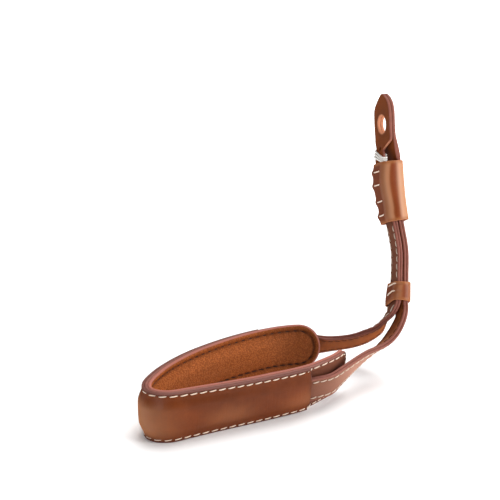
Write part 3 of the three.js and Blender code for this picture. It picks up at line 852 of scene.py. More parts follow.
def finish_leather(tree, face, roughness, normal, gloss):
    """Ends a leather: glossy face on, and matt seen edge on, as its standing fibres make it."""
    facing = add(tree, "ShaderNodeLayerWeight", {"Blend": 0.5}).outputs["Facing"]
    edge_on = carry(tree, facing, (0.30, 0.72), (0.0, 1.0))
    finish(tree, {
        "Base Color": face, "Roughness": between(tree, edge_on, roughness, 1.0),
        "Normal": normal, "IOR": 1.5, "Specular IOR Level": gloss})


def leather(name, tone, paint, *, dark=0.86, light=1.12, mottle=7.0, crease=3.0,
            crease_depth=0.04, rough, gloss=0.22, burnish=0.0, wear=None, cut=None, hem=None,
            wrinkle=0.0):
    """Leather whose colour drifts from dark to light over mottle, with pores and soft creases.

    The mark "burnish" darkens it, partly as burnishing beside edges and seams and partly as painted
    shade. "wear" lays a paler tone on it as a painted highlight, "hem" lightens it along a rim,
    "paint" lays edge paint on it, and "cut" shows its raw fibre. wrinkle is the depth of fine
    lines that run across it.
    """
    material, tree, where = new_material(name)
    drift = noise(tree, where, mottle, 5.0, 0.6).outputs["Fac"]
    ramp = add(tree, "ShaderNodeValToRGB", {0: drift})
    for element, place, factor in zip(ramp.color_ramp.elements, (0.30, 0.72), (dark, light)):
        element.position, element.color = place, scaled(tone, factor)
    pores = add(tree, "ShaderNodeTexVoronoi", {
        "Vector": where, "Scale": per_metre(PORE)}, feature="F1").outputs["Distance"]
    shade = carry(tree, pores, (0.0, 0.6), (0.84, 1.04))
    face = mix(tree, 1.0, ramp.outputs["Color"], shade, blend_type="MULTIPLY")
    smear = noise(tree, where, PAINT_SMEAR, 3.0).outputs["Fac"]
    coat = mix(tree, smear, scaled(paint, 0.78), scaled(paint, 1.2))
    for kind, share, over in (
            ("burnish", burnish, scaled(tone, 0.34)), ("wear", 0.8, wear), ("hem", 0.8, hem),
            ("paint", 1.0, coat), ("cut", 1.0, cut)):
        if share and over is not None:
            face = mix(tree, mark(tree, kind, share), face, over)
    worn = carry(tree, drift, (0.3, 0.7), (rough - 0.05, rough + 0.06))
    roughness = between(tree, mark(tree, "paint"), worn, PAINT_ROUGHNESS)
    normal = bump(tree, noise(tree, where, crease, 4.0, 0.55).outputs["Fac"], crease_depth)
    if wrinkle:
        # The pattern lies on the leather's flat state, drawn out across it.
        flat = add(tree, "ShaderNodeCombineXYZ", {
            0: mark(tree, "flat_place"), 1: mark(tree, "flat_across", 0.09)})
        lines = add(tree, "ShaderNodeTexNoise", {
            "Vector": flat.outputs[0], "Scale": 1.1, "Detail": 4.0, "Roughness": 0.6})
        normal = bump(tree, lines.outputs["Fac"], wrinkle, normal)
    finish_leather(tree, face, roughness, bump(tree, pores, PORE_DEPTH, normal), gloss)
    return material


def pebbled_leather(name, tone, paint):
    """Soft calf tumbled until its grain stands up in round pebbles.

    The mark "handled" darkens it as painted shade, and "paint" lays edge paint on it. Between the
    pebbles it is darker: partly the grain's own tone, partly painted shade in their hollows.
    """
    material, tree, where = new_material(name)
    wander = add(tree, "ShaderNodeVectorMath", {
        0: noise(tree, where, 1.4).outputs["Color"], 1: (PEBBLE_WANDER * METRES,) * 3, 2: where},
        operation="MULTIPLY_ADD")
    pebbles = add(tree, "ShaderNodeTexVoronoi", {
        "Vector": wander.outputs[0], "Scale": per_metre(PEBBLE), "Smoothness": 0.3},
        feature="SMOOTH_F1")
    height = carry(tree, pebbles.outputs["Distance"], (0.1, 0.62), (1.0, 0.0))
    drift = noise(tree, where, 9.0, 5.0, 0.6).outputs["Fac"]
    tops = mix(tree, drift, scaled(tone, 0.82), scaled(tone, 1.3))
    # Darker between the pebbles: partly the grain's own tone, partly painted shade in their
    # hollows.
    face = mix(tree, height, scaled(tone, 0.56), tops)
    for kind, over in (("handled", scaled(tone, 0.30)), ("paint", paint)):
        face = mix(tree, mark(tree, kind), face, over)
    fine = bump(tree, noise(tree, where, GRAIN).outputs["Fac"], GRAIN_HEIGHT)
    finish_leather(tree, face, carry(tree, height, (0.0, 1.0), (0.75, 0.5)),
                   bump(tree, height, PEBBLE_HEIGHT, fine), 0.2)
    return material


def waxed_thread(name, tone, rough=0.5, fuzz=0.2):
    """Twisted thread drawn through wax: its fibres differ a little in tone and height."""
    material, tree, where = new_material(name)
    fibre = noise(tree, where, FIBRE).outputs["Fac"]
    finish(tree, {
        "Base Color": mix(tree, fibre, scaled(tone, 0.72), scaled(tone, 1.08)),
        "Roughness": rough, "Normal": bump(tree, fibre, FIBRE_HEIGHT), "IOR": 1.5,
        "Sheen Weight": fuzz, "Specular IOR Level": 0.2})
    return material


def named_material(name, make, *arguments, **numbers):
    """A material that is made the first time it is asked for."""
    return bpy.data.materials.get(name) or make(name, *arguments, **numbers)


# ---------------------------------------------------------------- bands
def rounded_outline(half_normal, half_width, radius):
    """A rectangle with round corners: a closed line of (out, across), and the length along it.

    Each row holds the line's own direction outwards too. It starts at the near right corner and
    goes over the near side, the left, the far and the right.
    """
    corners = ((1, 1, 0), (-1, 1, 90), (-1, -1, 180), (1, -1, 270))
    pieces = []
    for sign_n, sign_w, start in corners:
        angle = np.radians(start + np.linspace(0, 90, 13))
        pieces.append(np.column_stack([
            sign_n * (half_normal - radius) + radius * np.cos(angle),
            sign_w * (half_width - radius) + radius * np.sin(angle),
            np.cos(angle), np.sin(angle)]))
    loop = np.vstack(pieces)
    loop = np.vstack([loop, loop[:1]])
    return loop, run_along(loop[:, :2])


Band = namedtuple("Band", "start length half_normal shape swell lower_rim crown polish")
BAND_CORNERS = (1.4, 3.4)     # radii of a band's corners, in its hollow and outside
BAND_HALF_WIDTH = STRAP_HALF + BAND_CLEAR
BAND_SPREAD = 1.2             # the bands' tables are averaged over this each way
BAND_RIM = 0.34               # half the thickness of a band's rounded rim
BAND_STEP = 0.35              # of its mesh round it, and up it
BAND_RISE = 0.3
BAND_STITCH = 1.3             # its few stitches are this much thicker than the others


def band_outline(band, share):
    """The section of a band's hollow or of its outer face."""
    more = BAND_THICKNESS * share
    return rounded_outline(band.half_normal + more, BAND_HALF_WIDTH + more, BAND_CORNERS[share])


def band_spot(band, around, height, share):
    """The point of a band so far round it and up it, a share of the way from its hollow outwards.

    around is measured on the hollow from the middle of the near left corner: it grows over the near
    side to the right and falls over the left side to the far one. The hollow is a rounded rectangle
    and the outer face lies a leather's thickness outside it. The left and far walls then stand out
    by the band's table, eased in over the section, and by swell(height, out, across); the near wall
    is crowned by a parabola.
    """
    hollow, length = band_outline(band, 0)
    face, _ = band_outline(band, 1)
    corner = 0.75 * math.pi * BAND_CORNERS[0] + 2 * (band.half_normal - BAND_CORNERS[0])
    along = np.mod(corner - around, length[-1])
    n, w = np.moveaxis(sample(hollow[:, :2], length, along), -1, 0)
    n_face, w_face, normal_n, normal_w = np.moveaxis(sample(face, length, along), -1, 0)
    left = ease(0.5 - n / (2 * (band.half_normal - BAND_CORNERS[0])))
    far = ease(0.5 - w / (2 * (BAND_HALF_WIDTH - BAND_CORNERS[0])))
    out, inside, back = (
        table_at(band.shape, height, column, BAND_SPREAD) for column in (1, 2, 3))
    swell = share * band.swell(height, n, w)
    n_out = n + (n_face - n) * share + normal_n * swell - left * (inside + (out - inside) * share)
    w_out = w + (w_face - w) * share + normal_w * swell - far * back
    near = ease(w / BAND_HALF_WIDTH * 2 - 1)
    w_out = w_out + band.crown * near * (1 - np.square(n / band.half_normal)) * share
    up = height + band.lower_rim(n, w) * ease(1 - height / band.length)
    return spot(stem_route, band.start + up, w_out, n_out), n, w


def band_piece(band):
    """A leather band round the stem: points, faces and marks.

    Its rows run up the outer face, over the upper rim on a half circle, down the hollow and round
    the lower rim.
    """
    around = np.arange(0, band_outline(band, 0)[1][-1] - BAND_STEP / 2, BAND_STEP)[None]
    top, bottom = band.length - BAND_RIM, BAND_RIM
    height = np.linspace(bottom, top, int(band.length / BAND_RISE))
    turn = np.linspace(0, math.pi, 9)[1:-1]
    over, half, rim = BAND_RIM * np.sin(turn), 0.5 * np.cos(turn), 1 + 0 * turn
    one = np.ones_like(height)
    profile = [(height, one, 0 * one), (top + over, 0.5 + half, rim),
               (height[::-1], 0 * one, 0 * one), (bottom - over, 0.5 - half, rim)]
    up, share, rims = (np.concatenate(v)[:, None] for v in zip(*profile))
    points, n, w = band_spot(band, around + 0 * up, up + 0 * around, share + 0 * around)
    from_rim = np.minimum(up, band.length - up)
    marks = {
        "paint": 0 * n,
        "cut": rims + 0 * n,
        "hem": share * hump((from_rim - 0.6) / 0.9) + 0 * n,
        # paler on the near bends: painted highlight
        "wear": share * band.polish(n, w),
        # darker on the left wall: painted shade
        "burnish": share * left_wall(n) * ease((6.4 - w) / 2.2),
    }
    return points, grid(*n.shape, True, True), marks


KEEPER_HALF = ARMS_HALF + BAND_CLEAR
SLEEVE_HALF = KEEPER_HALF + NECK_THICKNESS + BAND_CLEAR


def left_wall(out):
    """1 on a band's left wall and 0 on its right one."""
    return ease((-out - 1.0) / 1.5)


def keeper_swell(height, out, across):
    """The near left corner is drawn in under its two stitches."""
    pulls = sum(hump((height - at) / 0.7) for at in KEEPER_STITCHES)
    return -0.28 * pulls * left_wall(out) * ease((across - 1.0) / 3)


def sleeve_swell(height, out, across):
    """On the left wall, a fold stands up by the far corner and is pinched in by each stitch."""
    fold = sum(hump((height - at) / 1.5) for at in SLEEVE_STITCHES)
    pinch = sum(hump((height - at) / 0.6) for at in SLEEVE_STITCHES)
    far = ease((-across - 1.5) / 4.0)
    near = hump((across - 1.0) / 3.0)
    return left_wall(out) * (0.75 * fold * far - 0.40 * pinch * near)


def keeper_lower_rim(out, across):
    """The keeper's lower rim is cut on a slant: higher on the near side."""
    return 0.28 * across - 0.08 * out


def straight_rim(out, across):
    """A lower rim cut square."""
    return 0.0 * across


def sleeve_highlight_mask(out, across):
    """Painted highlights on the sleeve's near left bend and over its near right bend."""
    near = ease((across - 4.0) / 2.0)
    return near * (0.6 * hump((out + SLEEVE_HALF - 1.1) / 1.1)
                   + 0.8 * ease((out - 0.2) / 3.4))


def keeper_highlight_mask(out, across):
    """Painted highlights on both of the keeper's near bends."""
    return ease((across - 4.0) / 2.0) * (
        0.6 * ease((out - 1.5) / 2.5) + 0.35 * hump((out + KEEPER_HALF - 1.4) / 1.3))


KEEPER = Band(KEEPER_START, KEEPER_LENGTH, KEEPER_HALF, KEEPER_SHAPE, keeper_swell,
              keeper_lower_rim, 0.5, keeper_highlight_mask)
SLEEVE = Band(SLEEVE_START, SLEEVE_LENGTH, SLEEVE_HALF, SLEEVE_SHAPE, sleeve_swell, straight_rim,
              0.9, sleeve_highlight_mask)


def band_thread(band, heights, first, last, rise, radius):
    """Stitches round a band's near left corner, sunk at both ends and proud between them."""
    t = np.linspace(0, 1, 25)
    parts = []
    for middle in heights:
        around = first + (last - first) * t
        height = middle + rise * (t - 0.5)
        low, high = (band_spot(band, around, height, share)[0] for share in (0, 1))
        up = unit(high - low)
        lift = radius * (0.75 * np.sin(math.pi * t) ** 0.4 - 0.45)
        parts.append(tube(high + up * lift[:, None], up, radius, 8))
    return joined(parts)


def tube(line, up, radius, sides, lay=0.0):
    """A cord along a line: circles square to it, closed to a point at both ends.

    With a lay, its radius has a cosine ripple that turns round the line once in that length, which
    draws its twisted plies.
    """
    along = unit(np.gradient(line, axis=0))
    side = unit(np.cross(along, up))
    up = np.cross(side, along)
    run = run_along(line)
    angle = np.linspace(0, 2 * math.pi, sides, endpoint=False)[None]
    from_end = np.minimum(run, run[-1] - run)[:, None]
    size = radius * np.sqrt(np.clip(1 - np.square(1 - from_end / (0.9 * radius)), 0, 1)
                            * (from_end < 0.9 * radius) + (from_end >= 0.9 * radius))
    if lay:
        turned = angle - 2 * math.pi * run[:, None] / lay
        size = size * (1 + CORD_RIPPLE * np.cos(CORD_PLIES * turned))
    else:
        size = size + 0 * angle
    ring = np.cos(angle)[..., None] * side[:, None] + np.sin(angle)[..., None] * up[:, None]
    points = line[:, None] + size[..., None] * ring
    first = list(range(sides))
    last = [(len(line) - 1) * sides + i for i in range(sides)]
    return points.reshape(-1, 3), grid(len(line), sides, False, True), [first, last]


# ---------------------------------------------------------------- flaps
FLAP_STEP = 0.4               # along the outline
FLAP_ROUNDING = 0.9
FLAP_BULGE = 0.38             # of its painted edge
HOLE_CHAMFER = 0.38
SHOULDER_HEIGHT = 8.5         # the left flap's raw shoulder over its notch
SHOULDER_SPREAD = 1.6


def near_side(height):
    """How far a flap's near side is from the middle where its neck has no notch."""
    plain = STRAP_HALF + (TAB_HALF - STRAP_HALF) * ease(height / NECK_SPREAD)
    return np.where(height < NECK_SPREAD, plain, table_at(FLAP_OUTLINE, height, 2))


def notched(height, across):
    """The left flap's near side is cut in over its neck: what lies there is drawn to the middle."""
    share = table_at(FLAP_OUTLINE, height, 2, 0.5) / near_side(height)
    return np.where((across > 0) & (height < NECK_SPREAD), across * np.minimum(share, 1), across)


def flap_loop():
    """The flap's outline as a closed line of (height, across), corners rounded, and its normals."""
    rows = np.array(FLAP_OUTLINE)[:, 0]
    height = np.append(np.linspace(rows[0], NECK_SPREAD, 30), rows[rows > NECK_SPREAD])
    loop = np.vstack([
        np.column_stack([height, near_side(height)]),
        np.column_stack([height[::-1], -table_at(FLAP_OUTLINE, height[::-1], 1)])])
    loop = np.vstack([loop, loop[:1]])
    length = run_along(loop)
    at = np.linspace(0, length[-1], int(length[-1] / FLAP_STEP), endpoint=False)
    line = sample(loop, length, at)
    reach = 8
    weights = bell_weights(reach, FLAP_ROUNDING / FLAP_STEP)
    longer = np.vstack([line[-reach:], line, line[:reach]])
    line = np.column_stack([np.convolve(longer[:, k], weights, "valid") for k in range(2)])
    along = unit(np.roll(line, -1, 0) - np.roll(line, 1, 0))
    return line, np.column_stack([-along[:, 1], along[:, 0]])


def flap(side):
    """One flap of the tab: points, faces and marks.

    Rays run from the round hole to the outline, so a point is a share of the way along its ray. The
    grid goes out on the outer face, round the painted edge, back on the inner face and round the
    hole's wall, and closes on itself both ways. The left flap's near side is then drawn in.
    """
    line, normal = flap_loop()
    normal = normal * np.sign(np.sum(normal * (line - line.mean(0))))
    centre = np.array([HOLE_HEIGHT, 0.0])
    ray = unit(line - centre)
    inner, outer = centre + ray * (HOLE_RADIUS + HOLE_CHAMFER), line - normal * FLAP_BULGE
    share = np.linspace(0, 1, 64)[:, None, None] ** 1.15
    plane = inner + (outer - inner) * share
    turn = np.linspace(math.pi / 2, -math.pi / 2, EDGE_STEPS + 2)[1:-1][:, None, None]
    rim = outer + normal * FLAP_BULGE * np.cos(turn) ** EDGE_FULLNESS
    wall_turn = np.linspace(-math.pi / 2, math.pi / 2, 11)[1:-1][:, None, None]
    wall = inner - ray * HOLE_CHAMFER * np.cos(wall_turn) ** 0.35
    parts = (plane, rim, plane[::-1], wall)
    part = np.repeat(range(4), [len(rows) for rows in parts])[:, None]
    painted, punched = 1.0 * (part == 1), 1.0 * (part == 3)
    flat = np.concatenate(parts)
    one = np.ones(len(plane))
    up = np.concatenate([one, np.sin(turn).ravel(), -one, np.sin(wall_turn).ravel()])[:, None]
    height, across = flat[..., 0], flat[..., 1]
    if side < 0:
        across = notched(height, across)
    near, out = flap_faces(side, height)
    middle, thick = (near + out) / 2, out - near
    points = spot(stem_route, SLEEVE_TOP + height, across, side * (middle + up * thick / 2))
    to_hole = np.hypot(height - HOLE_HEIGHT, across) - HOLE_RADIUS
    # The shoulder's painted edge over the notch takes the raw fibre's tone: partly its bare cut,
    # partly a painted highlight along it.
    shoulder = hump((height - SHOULDER_HEIGHT) / SHOULDER_SPREAD) * (across > 1) * (side < 0)
    marks = {
        "paint": painted + 0 * height,
        "cut": np.clip(punched + hump(to_hole / 0.5) + painted * shoulder, 0, 1),
        "burnish": hump(to_hole / 2.2),
    }
    return points, grid(*height.shape, True, True), marks


def drill_eyelet(piece):
    """Cuts the small hole in the left flap's neck with a thin round bar."""
    place = SLEEVE_TOP + EYELET_HEIGHT
    middle = np.mean(flap_faces(-1, EYELET_HEIGHT))
    point = (spot(stem_route, place, EYELET_ACROSS, -middle) + shift) * METRES
    axis = read(stem_route, stem_route.normal, place)
    side = unit(np.cross(axis, read(stem_route, stem_route.along, place)))
    up = np.cross(axis, side)
    sides, reach = 24, 3.0
    angle = np.linspace(0, 2 * math.pi, sides, endpoint=False)[:, None]
    ring = (np.cos(angle) * side + np.sin(angle) * up) * EYELET_RADIUS * METRES
    ends = np.vstack([point + ring + way * axis * reach * METRES for way in (-1, 1)])
    bar = bpy.data.meshes.new("eyelet_bar")
    caps = [list(range(sides - 1, -1, -1)), list(range(sides, 2 * sides))]
    bar.from_pydata(ends.tolist(), [], grid(2, sides, False, True).tolist() + caps)
    close_shell(bar)
    cutter = place_object("eyelet_bar", bar)
    cut = piece.modifiers.new("eyelet", "BOOLEAN")
    cut.operation, cut.object, cut.solver = "DIFFERENCE", cutter, "EXACT"
    whole = piece.evaluated_get(bpy.context.evaluated_depsgraph_get())
    drilled = bpy.data.meshes.new_from_object(whole)
    piece.modifiers.clear()
    piece.data = drilled
    bpy.data.objects.remove(cutter)


# ---------------------------------------------------------------- operators
class MakeLining(bpy.types.Operator):
    """Makes the pebbled, padded lining on the wrist side of the pad"""
    bl_idname = "wrist_strap.lining"
    bl_label = "Lining"

    def execute(self, context):
        sizes, colours = chosen(context)
        rows = round_rows(sizes.edge_round, 0.55)
        points, faces, marks = strip(
            pad_route, *rows, lining_low, lining_high, sizes.edge_round, (9, 75), False)
        # Painted shade darkens the lining towards the pad's rear end and in the valley beside its
        # stitches.
        place = marks["flat_place"]
        inside = from_outline(place, marks["flat_across"])
        handled = 0.5 * ease((LINING_SHADE_END - place) / 30)
        marks["handled"] = np.clip(handled + 0.6 * hump((inside - LINING_INSET) / 0.7), 0, 1)
        # Tumbled pebbled calf: soft, matt in its valleys and faintly waxed on the pebbles.
        # Its edge paint is a paler copy of the pad's: a painted highlight along its rounded top
        # edge.
        material = named_material(
            "tumbled_pebbled_calf", pebbled_leather, colours.lining, scaled(colours.paint, 1.5))
        piece = make_piece(
            "lining_leather", points, faces, material, ["pad_lining"], marks)
        return {"FINISHED"}


class MakeBase(bpy.types.Operator):
    """Makes the pad's middle layer with its round ends"""
    bl_idname = "wrist_strap.base"
    bl_label = "Base"

    def execute(self, context):
        sizes, colours = chosen(context)
        rows = round_rows(sizes.edge_round, 0.7)
        points, faces, marks = strip(
            pad_route, *rows, base_low, base_high, sizes.edge_round, (45, 9), False)
        inside = from_outline(marks["flat_place"], marks["flat_across"])
        # Darker beside the edge, where it is burnished, and less so over the rest of the face as
        # painted shade.
        marks["burnish"] = hump((inside - 0.5) / 1.2) + 0.6 * ease((inside - 2) / 4)
        # Vegetable-tanned shoulder leather, left unwaxed under the cover: a dry satin brown.
        material = named_material(
            "vegetable_tanned_base", leather, colours.base, scaled(colours.paint, 0.86),
            rough=0.5, burnish=0.5)
        make_piece("base_leather", points, faces, material, ["pad_base"], marks)
        return {"FINISHED"}


class MakeCover(bpy.types.Operator):
    """Makes the waxed outer cover of the pad, swollen over the strap"""
    bl_idname = "wrist_strap.cover"
    bl_label = "Cover"

    def execute(self, context):
        sizes, colours = chosen(context)
        bulge = sizes.edge_round
        start, end = cover_ends
        rows = straight_rows(start + bulge, end - bulge, PAD_RADIUS - bulge, 0.7)
        points, faces, marks = strip(
            pad_route, *rows, cover_low, cover_high, bulge, (61, 61), True)
        place, across = marks["flat_place"], marks["flat_across"]
        from_edge = PAD_RADIUS - np.abs(across)
        # Dark beside the painted edges, where they are burnished, and a little at the cut ends;
        # over the upper flank the darkening is painted shade.
        marks["burnish"] = np.clip(
            ease(1.6 - from_edge) + 0.35 * hump(np.minimum(place - start, end - place) / 1.2)
            + 0.30 * hump((across - 7.2) / 3.0), 0, 1)
        # Painted highlight round the bend, and painted sheen in a faint broken band along the
        # front's middle.
        bend = hump((place - BEND_PLACE) / 17) * ease((9 - across) / 6)
        band = hump((across + 3.4 + 0.8 * np.sin(place / 9)) / 5.0)
        broken = 0.07 + 0.07 * np.sin(place / 6.1 + 1)
        front = ease((place - BEND_PLACE) / 30) * band * broken
        marks["wear"] = np.clip(bend + front, 0, 1) * ease(from_edge / 4)
        # Waxed bridle leather: smooth, glossy, and darker where it was burnished beside its seams.
        # Its marks also carry painted shade and painted highlights.
        material = named_material(
            "waxed_bridle_cover", leather, colours.cover, scaled(colours.paint, 0.58),
            mottle=12.0, dark=0.72, light=1.22, rough=0.36, crease=6.0, crease_depth=0.05,
            burnish=0.75, gloss=0.17, wear=COVER_HIGHLIGHT, wrinkle=0.14)
        make_piece("cover_leather", points, faces, material, ["pad_cover"], marks)
        return {"FINISHED"}


class MakeStrap(bpy.types.Operator):
    """Makes the two plies of the narrow strap"""
    bl_idname = "wrist_strap.strap"
    bl_label = "Strap"

    def execute(self, context):
        sizes, colours = chosen(context)
        bulge = sizes.edge_round
        rows = straight_rows(bulge, strap_length - bulge, STRAP_HALF - bulge, 0.8)

        def glued(place, across):
            return PLY_LEVEL + 0 * across

        def sewn(place, across):
            return STRAP_LEVEL - seam_valley(
                np.abs(across) - STRAP_SEAM, place, sizes.strap_stitch, *STRAP_VALLEY)

        def turned_over(height):
            return lambda place, across: -height(place, across)

        # Smooth strap leather, skived, glued flesh to flesh and edge-painted: satin and even.
        smooth = named_material(
            "smooth_strap_leather", leather, colours.strap, colours.paint,
            rough=0.40, mottle=5.0, burnish=0.3, gloss=0.10, wear=STRAP_HIGHLIGHT)
        # The ply on the wrist side is the same hide dyed through warmer.
        warm = named_material(
            "warm_strap_leather", leather, colours.warm, colours.paint,
            rough=0.45, mottle=5.0, gloss=0.12, wear=INNER_PLY_HIGHLIGHT)
        for side, low, high, material in (
                ("outer", glued, sewn, smooth),
                ("inner", turned_over(sewn), turned_over(glued), warm)):
            points, faces, marks = strip(strap_route, *rows, low, high, bulge, (25, 25), True)
            marks["burnish"] = hump((np.abs(marks["flat_across"]) - STRAP_SEAM) / 0.8)
            from_end = strap_length - marks["flat_place"]
            # Paler over the front arm: a painted highlight.
            marks["wear"] = hump((from_end - FRONT_ARM_PLACE) / 22)
            make_piece(f"strap_{side}_leather", points, faces, material,
                       [f"strap_{side}_ply"], marks)
        return {"FINISHED"}


def make_band(context, name, band, heights, reach):
    """Makes a band and the stitches round its near left corner."""
    sizes, colours = chosen(context)
    # Bridle leather bent round while damp: light tan and pale at its cut rims, with painted
    # highlights on its near bends and painted shade on its left wall.
    material = named_material(
        "tan_bridle_band", leather, colours.band, colours.paint, rough=0.40, mottle=9.0, dark=0.9,
        crease=5.0, crease_depth=0.06, cut=BAND_CUT, hem=BAND_HEM, burnish=0.2, wear=BAND_HIGHLIGHT,
        gloss=0.24)
    points, faces, marks = band_piece(band)
    make_piece(f"{name}_band", points, faces, material, [name], marks)
    linen = named_material("waxed_linen_thread", waxed_thread, colours.thread)
    points, faces, caps = band_thread(band, heights, *reach, sizes.thread / 2 * BAND_STITCH)
    make_piece(f"{name}_thread", points, faces, linen, caps=caps)


class MakeKeeper(bpy.types.Operator):
    """Makes the keeper and its two stitches"""
    bl_idname = "wrist_strap.keeper"
    bl_label = "Keeper"

    def execute(self, context):
        make_band(context, "keeper", KEEPER, KEEPER_STITCHES, KEEPER_THREAD)
        return {"FINISHED"}


class MakeSleeve(bpy.types.Operator):
    """Makes the sleeve and its four stitches"""
    bl_idname = "wrist_strap.sleeve"
    bl_label = "Sleeve"

    def execute(self, context):
        make_band(context, "sleeve", SLEEVE, SLEEVE_STITCHES, SLEEVE_THREAD)
        return {"FINISHED"}


class MakeFlaps(bpy.types.Operator):
    """Makes the two flaps that meet in the tab"""
    bl_idname = "wrist_strap.flaps"
    bl_label = "Flaps"

    def execute(self, context):
        colours = chosen(context)[1]
        # Firm smooth leather with a punched hole: the punch leaves the pale fibre bare.
        material = named_material(
            "firm_tab_leather", leather, colours.tab, colours.paint, rough=0.45, gloss=0.08,
            mottle=9.0, cut=TAB_CUT, burnish=0.25)
        for side, name in ((-1, "flap_left"), (1, "flap_right")):
            points, faces, marks = flap(side)
            piece = make_piece(
                f"{name}_leather", points, faces, material, [name], marks)
            if side < 0:
                drill_eyelet(piece)
        return {"FINISHED"}


class MakeBinding(bpy.types.Operator):
    """Winds three turns of white cord round the left flap's neck"""
    bl_idname = "wrist_strap.binding"
    bl_label = "Binding"

    def execute(self, context):
        sizes, colours = chosen(context)
        radius = sizes.cord / 2
        near, out = flap_faces(-1, CORD_HEIGHT)
        outline, length = rounded_outline(
            (out - near) / 2 + radius + CORD_CLEAR, CORD_HALF + radius, radius + CORD_BEND)
        around = np.linspace(0.02, CORD_TURNS - 0.02, CORD_TURNS * 110)
        at = np.mod(around, 1) * length[-1]
        n, w = sample(outline[:, :2], length, at).T
        step = (around - CORD_TURNS / 2) * (CORD_PITCH - CORD_FAN * w)
        height = CORD_HEIGHT + step - CORD_SLANT * w
        near, out = flap_faces(-1, height)
        line = spot(stem_route, SLEEVE_TOP + height, w + CORD_MIDDLE, n - (near + out) / 2)
        up = read(stem_route, stem_route.along, SLEEVE_TOP + height)
        points, faces, caps = tube(line, up, radius, 12, lay=CORD_LAY)
        material = named_material("white_cotton_cord", waxed_thread, colours.cord, rough=0.7)
        make_piece("binding_turns", points, faces, material, ["binding_cord"],
                   caps=caps)
        return {"FINISHED"}


def shown_stitches(pitch):
    """Places of the strap's stitches, but for those in the pad, the keeper and the sleeve."""
    centre = np.arange(pitch / 2, strap_length, pitch)
    up_stem = STRAP_TOP - np.minimum(centre, strap_length - centre)
    in_sleeve = up_stem > SLEEVE_START - 1
    in_keeper = (up_stem > KEEPER_START - 0.5) & (up_stem < KEEPER_START + KEEPER_LENGTH + 0.5)
    middle = spot(pad_route, np.array([pad_length / 2]), 0, 0)
    pad_middle = strap_route.place[np.argmin(np.linalg.norm(strap_route.point - middle, axis=1))]
    in_pad = np.abs(centre - pad_middle) < (cover_ends[1] - cover_ends[0]) / 2 - 2
    return centre[~(in_sleeve | in_keeper | in_pad)]


class MakeSeams(bpy.types.Operator):
    """Sews the rows of stitches on the pad and the strap"""
    bl_idname = "wrist_strap.seams"
    bl_label = "Seams"

    def execute(self, context):
        sizes, colours = chosen(context)
        radius = sizes.thread / 2

        def outer(place, across):
            covered = (place > cover_ends[0]) & (place < cover_ends[1])
            return np.where(covered, cover_high(place, across), base_high(place, across))

        pitch = sizes.pad_stitch
        rows = [pad_thread(outer, 1, SEAM_INSET, pitch, radius, PAD_LIFT),
                pad_thread(lining_low, -1, LINING_INSET, pitch, radius, LINING_LIFT)]
        pitch = sizes.strap_stitch
        centre = shown_stitches(pitch)
        for side in (1, -1):
            rows.append(joined([
                strap_thread(centre, w, side, pitch, radius) for w in (-STRAP_SEAM, STRAP_SEAM)]))
        # Waxed linen: cream on the pad, darkened on the strap as painted shade, and dyed to match
        # the leather on the wrist side.
        threads = (
            ("pad_thread", "waxed_linen_thread", colours.thread, 0.2),
            ("lining_thread", "brown_linen_thread", colours.bobbin, 0.0),
            ("strap_thread", "handled_linen_thread", scaled(colours.thread, 0.74), 0.2),
            ("strap_inner_thread", "matched_linen_thread", scaled(colours.warm, 0.5), 0.0))
        for (points, faces, caps), (name, linen, tone, fuzz) in zip(rows, threads):
            material = named_material(linen, waxed_thread, tone, fuzz=fuzz)
            make_piece(name, points, faces, material, caps=caps)
        return {"FINISHED"}


# ---------------------------------------------------------------- stage
CAMERA_PLACE = (-15.0, -355.0, 172.5)   # in the routes' own place
CAMERA_DOWN = 16.0
CAMERA_LENS = 57.6
WORLD_STRENGTH = 0.15
FLOOR_GLOW = 0.04
BACKDROP_GLOW = 0.9
GLOW_FROM, GLOW_TO = 0.15, 0.7  # the sheet starts to glow behind the strap, in metres
# Each lamp's name, kind, strength, place in metres and further settings.
LAMPS = (
    ("top_softbox", "SUN", 2.9, (0.30, 0.42, 1.4), {"angle": math.radians(45)}),
    ("left_softbox", "AREA", 1.7, (-0.34, -0.64, 0.22),
     {"shape": "RECTANGLE", "size": 0.16, "size_y": 0.45}),
    ("right_softbox", "AREA", 5.0, (0.68, -0.26, 0.32),
     {"shape": "RECTANGLE", "size": 0.26, "size_y": 0.45}),
)
LAMP_TARGET = (0.0, 0.0, 0.05)


def hang_lamp(name, kind, energy, place, settings):
    """Hangs a lamp that faces the target: its -Z is turned from its place towards it."""
    lamp = bpy.data.lights.new(name, kind)
    lamp.energy = energy
    for key, value in settings.items():
        setattr(lamp, key, value)
    away = unit(np.array(place) - LAMP_TARGET)
    place_object(name, lamp, place, (math.acos(away[2]), 0.0, math.atan2(away[0], -away[1])))


def make_world():
    """A world that is dim where it lights the leather, and white where it is seen."""
    world = bpy.data.worlds.new("soft_room")
    world.use_nodes = True
    tree = world.node_tree
    tree.nodes.clear()
    seen = add(tree, "ShaderNodeLightPath").outputs["Is Camera Ray"]
    sky = add(tree, "ShaderNodeBackground", {
        "Color": (1.0, 1.0, 1.0, 1.0), "Strength": between(tree, seen, WORLD_STRENGTH, 1.0)})
    add(tree, "ShaderNodeOutputWorld", {"Surface": sky.outputs["Background"]})
    return world


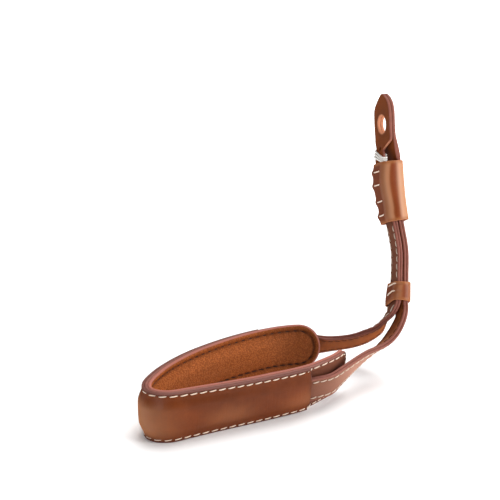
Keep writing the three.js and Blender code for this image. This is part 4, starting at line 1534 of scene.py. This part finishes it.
def make_sheet():
    """A seamless white sheet, flat under the strap, and curved up and lit far behind it.

    Its section is a line, a quarter of an ellipse and a line, in metres.
    """
    turn = np.linspace(0, math.pi / 2, 25)
    depth = np.concatenate([[-3.0, 0.0, 1.0], 1.6 + 0.8 * np.sin(turn), [2.4]])
    rise = np.concatenate([[0.0, 0.0, 0.0], 0.8 - 0.8 * np.cos(turn), [3.5]])
    wide = np.array([-4.0, 4.0])[:, None]
    points = np.stack([wide + 0 * depth, depth + 0 * wide, rise + 0 * wide], -1).reshape(-1, 3)
    mesh = bpy.data.meshes.new("floor_sheet")
    mesh.from_pydata(points.tolist(), [], grid(2, len(depth), False, False).tolist())
    mesh.shade_smooth()
    material, tree, where = new_material("white_paper")
    paper = noise(tree, where, 400.0).outputs["Fac"]
    behind = add(tree, "ShaderNodeSeparateXYZ", {0: where}).outputs["Y"]
    glow = carry(tree, behind, (GLOW_FROM, GLOW_TO), (FLOOR_GLOW, BACKDROP_GLOW))
    finish(tree, {
        "Base Color": mix(tree, paper, (0.9, 0.9, 0.9, 1), (0.94, 0.94, 0.94, 1)),
        "Roughness": 0.9, "IOR": 1.3, "Emission Color": (1.0, 1.0, 1.0, 1.0),
        "Emission Strength": glow})
    mesh.materials.append(material)
    return mesh


class SetStage(bpy.types.Operator):
    """Sets the floor, the soft lights and the camera"""
    bl_idname = "wrist_strap.stage"
    bl_label = "Stage"

    def execute(self, context):
        scene = context.scene
        scene.view_settings.view_transform = "Standard"
        scene.world = make_world()
        place_object("floor_sheet", make_sheet())
        for lamp in LAMPS:
            hang_lamp(*lamp)
        camera = bpy.data.cameras.new("camera")
        camera.lens, camera.sensor_width = CAMERA_LENS, 36.0
        camera.clip_start, camera.clip_end = 0.02, 20.0
        scene.camera = place_object(
            "camera", camera, (np.array(CAMERA_PLACE) + shift) * METRES,
            (math.radians(90 - CAMERA_DOWN), 0.0, 0.0))
        return {"FINISHED"}


MAKING_ORDER = (
    SetStage, MakeLining, MakeBase, MakeCover, MakeStrap, MakeKeeper, MakeSleeve, MakeFlaps,
    MakeBinding, MakeSeams,
)


class StrapPanel(bpy.types.Panel):
    """Lists the strap's operators, sizes and colours"""
    bl_idname = "VIEW3D_PT_wrist_strap"
    bl_label = "Wrist Strap"
    bl_space_type = "VIEW_3D"
    bl_region_type = "UI"
    bl_category = "Wrist Strap"

    def draw(self, context):
        for maker in MAKING_ORDER:
            self.layout.operator(maker.bl_idname)
        for settings in (context.scene.strap_sizes, context.scene.strap_colours):
            for name in settings.__annotations__:
                self.layout.prop(settings, name)


CLASSES = (StrapSizes, StrapColours, *MAKING_ORDER, StrapPanel)


def register():
    for each in CLASSES:
        bpy.utils.register_class(each)
    bpy.types.Scene.strap_sizes = PointerProperty(type=StrapSizes)
    bpy.types.Scene.strap_colours = PointerProperty(type=StrapColours)


def unregister():
    del bpy.types.Scene.strap_colours
    del bpy.types.Scene.strap_sizes
    for each in reversed(CLASSES):
        bpy.utils.unregister_class(each)


def main():
    register()
    for maker in MAKING_ORDER:
        group, name = maker.bl_idname.split(".")
        getattr(getattr(bpy.ops, group), name)()


if __name__ == "__main__":
    main()
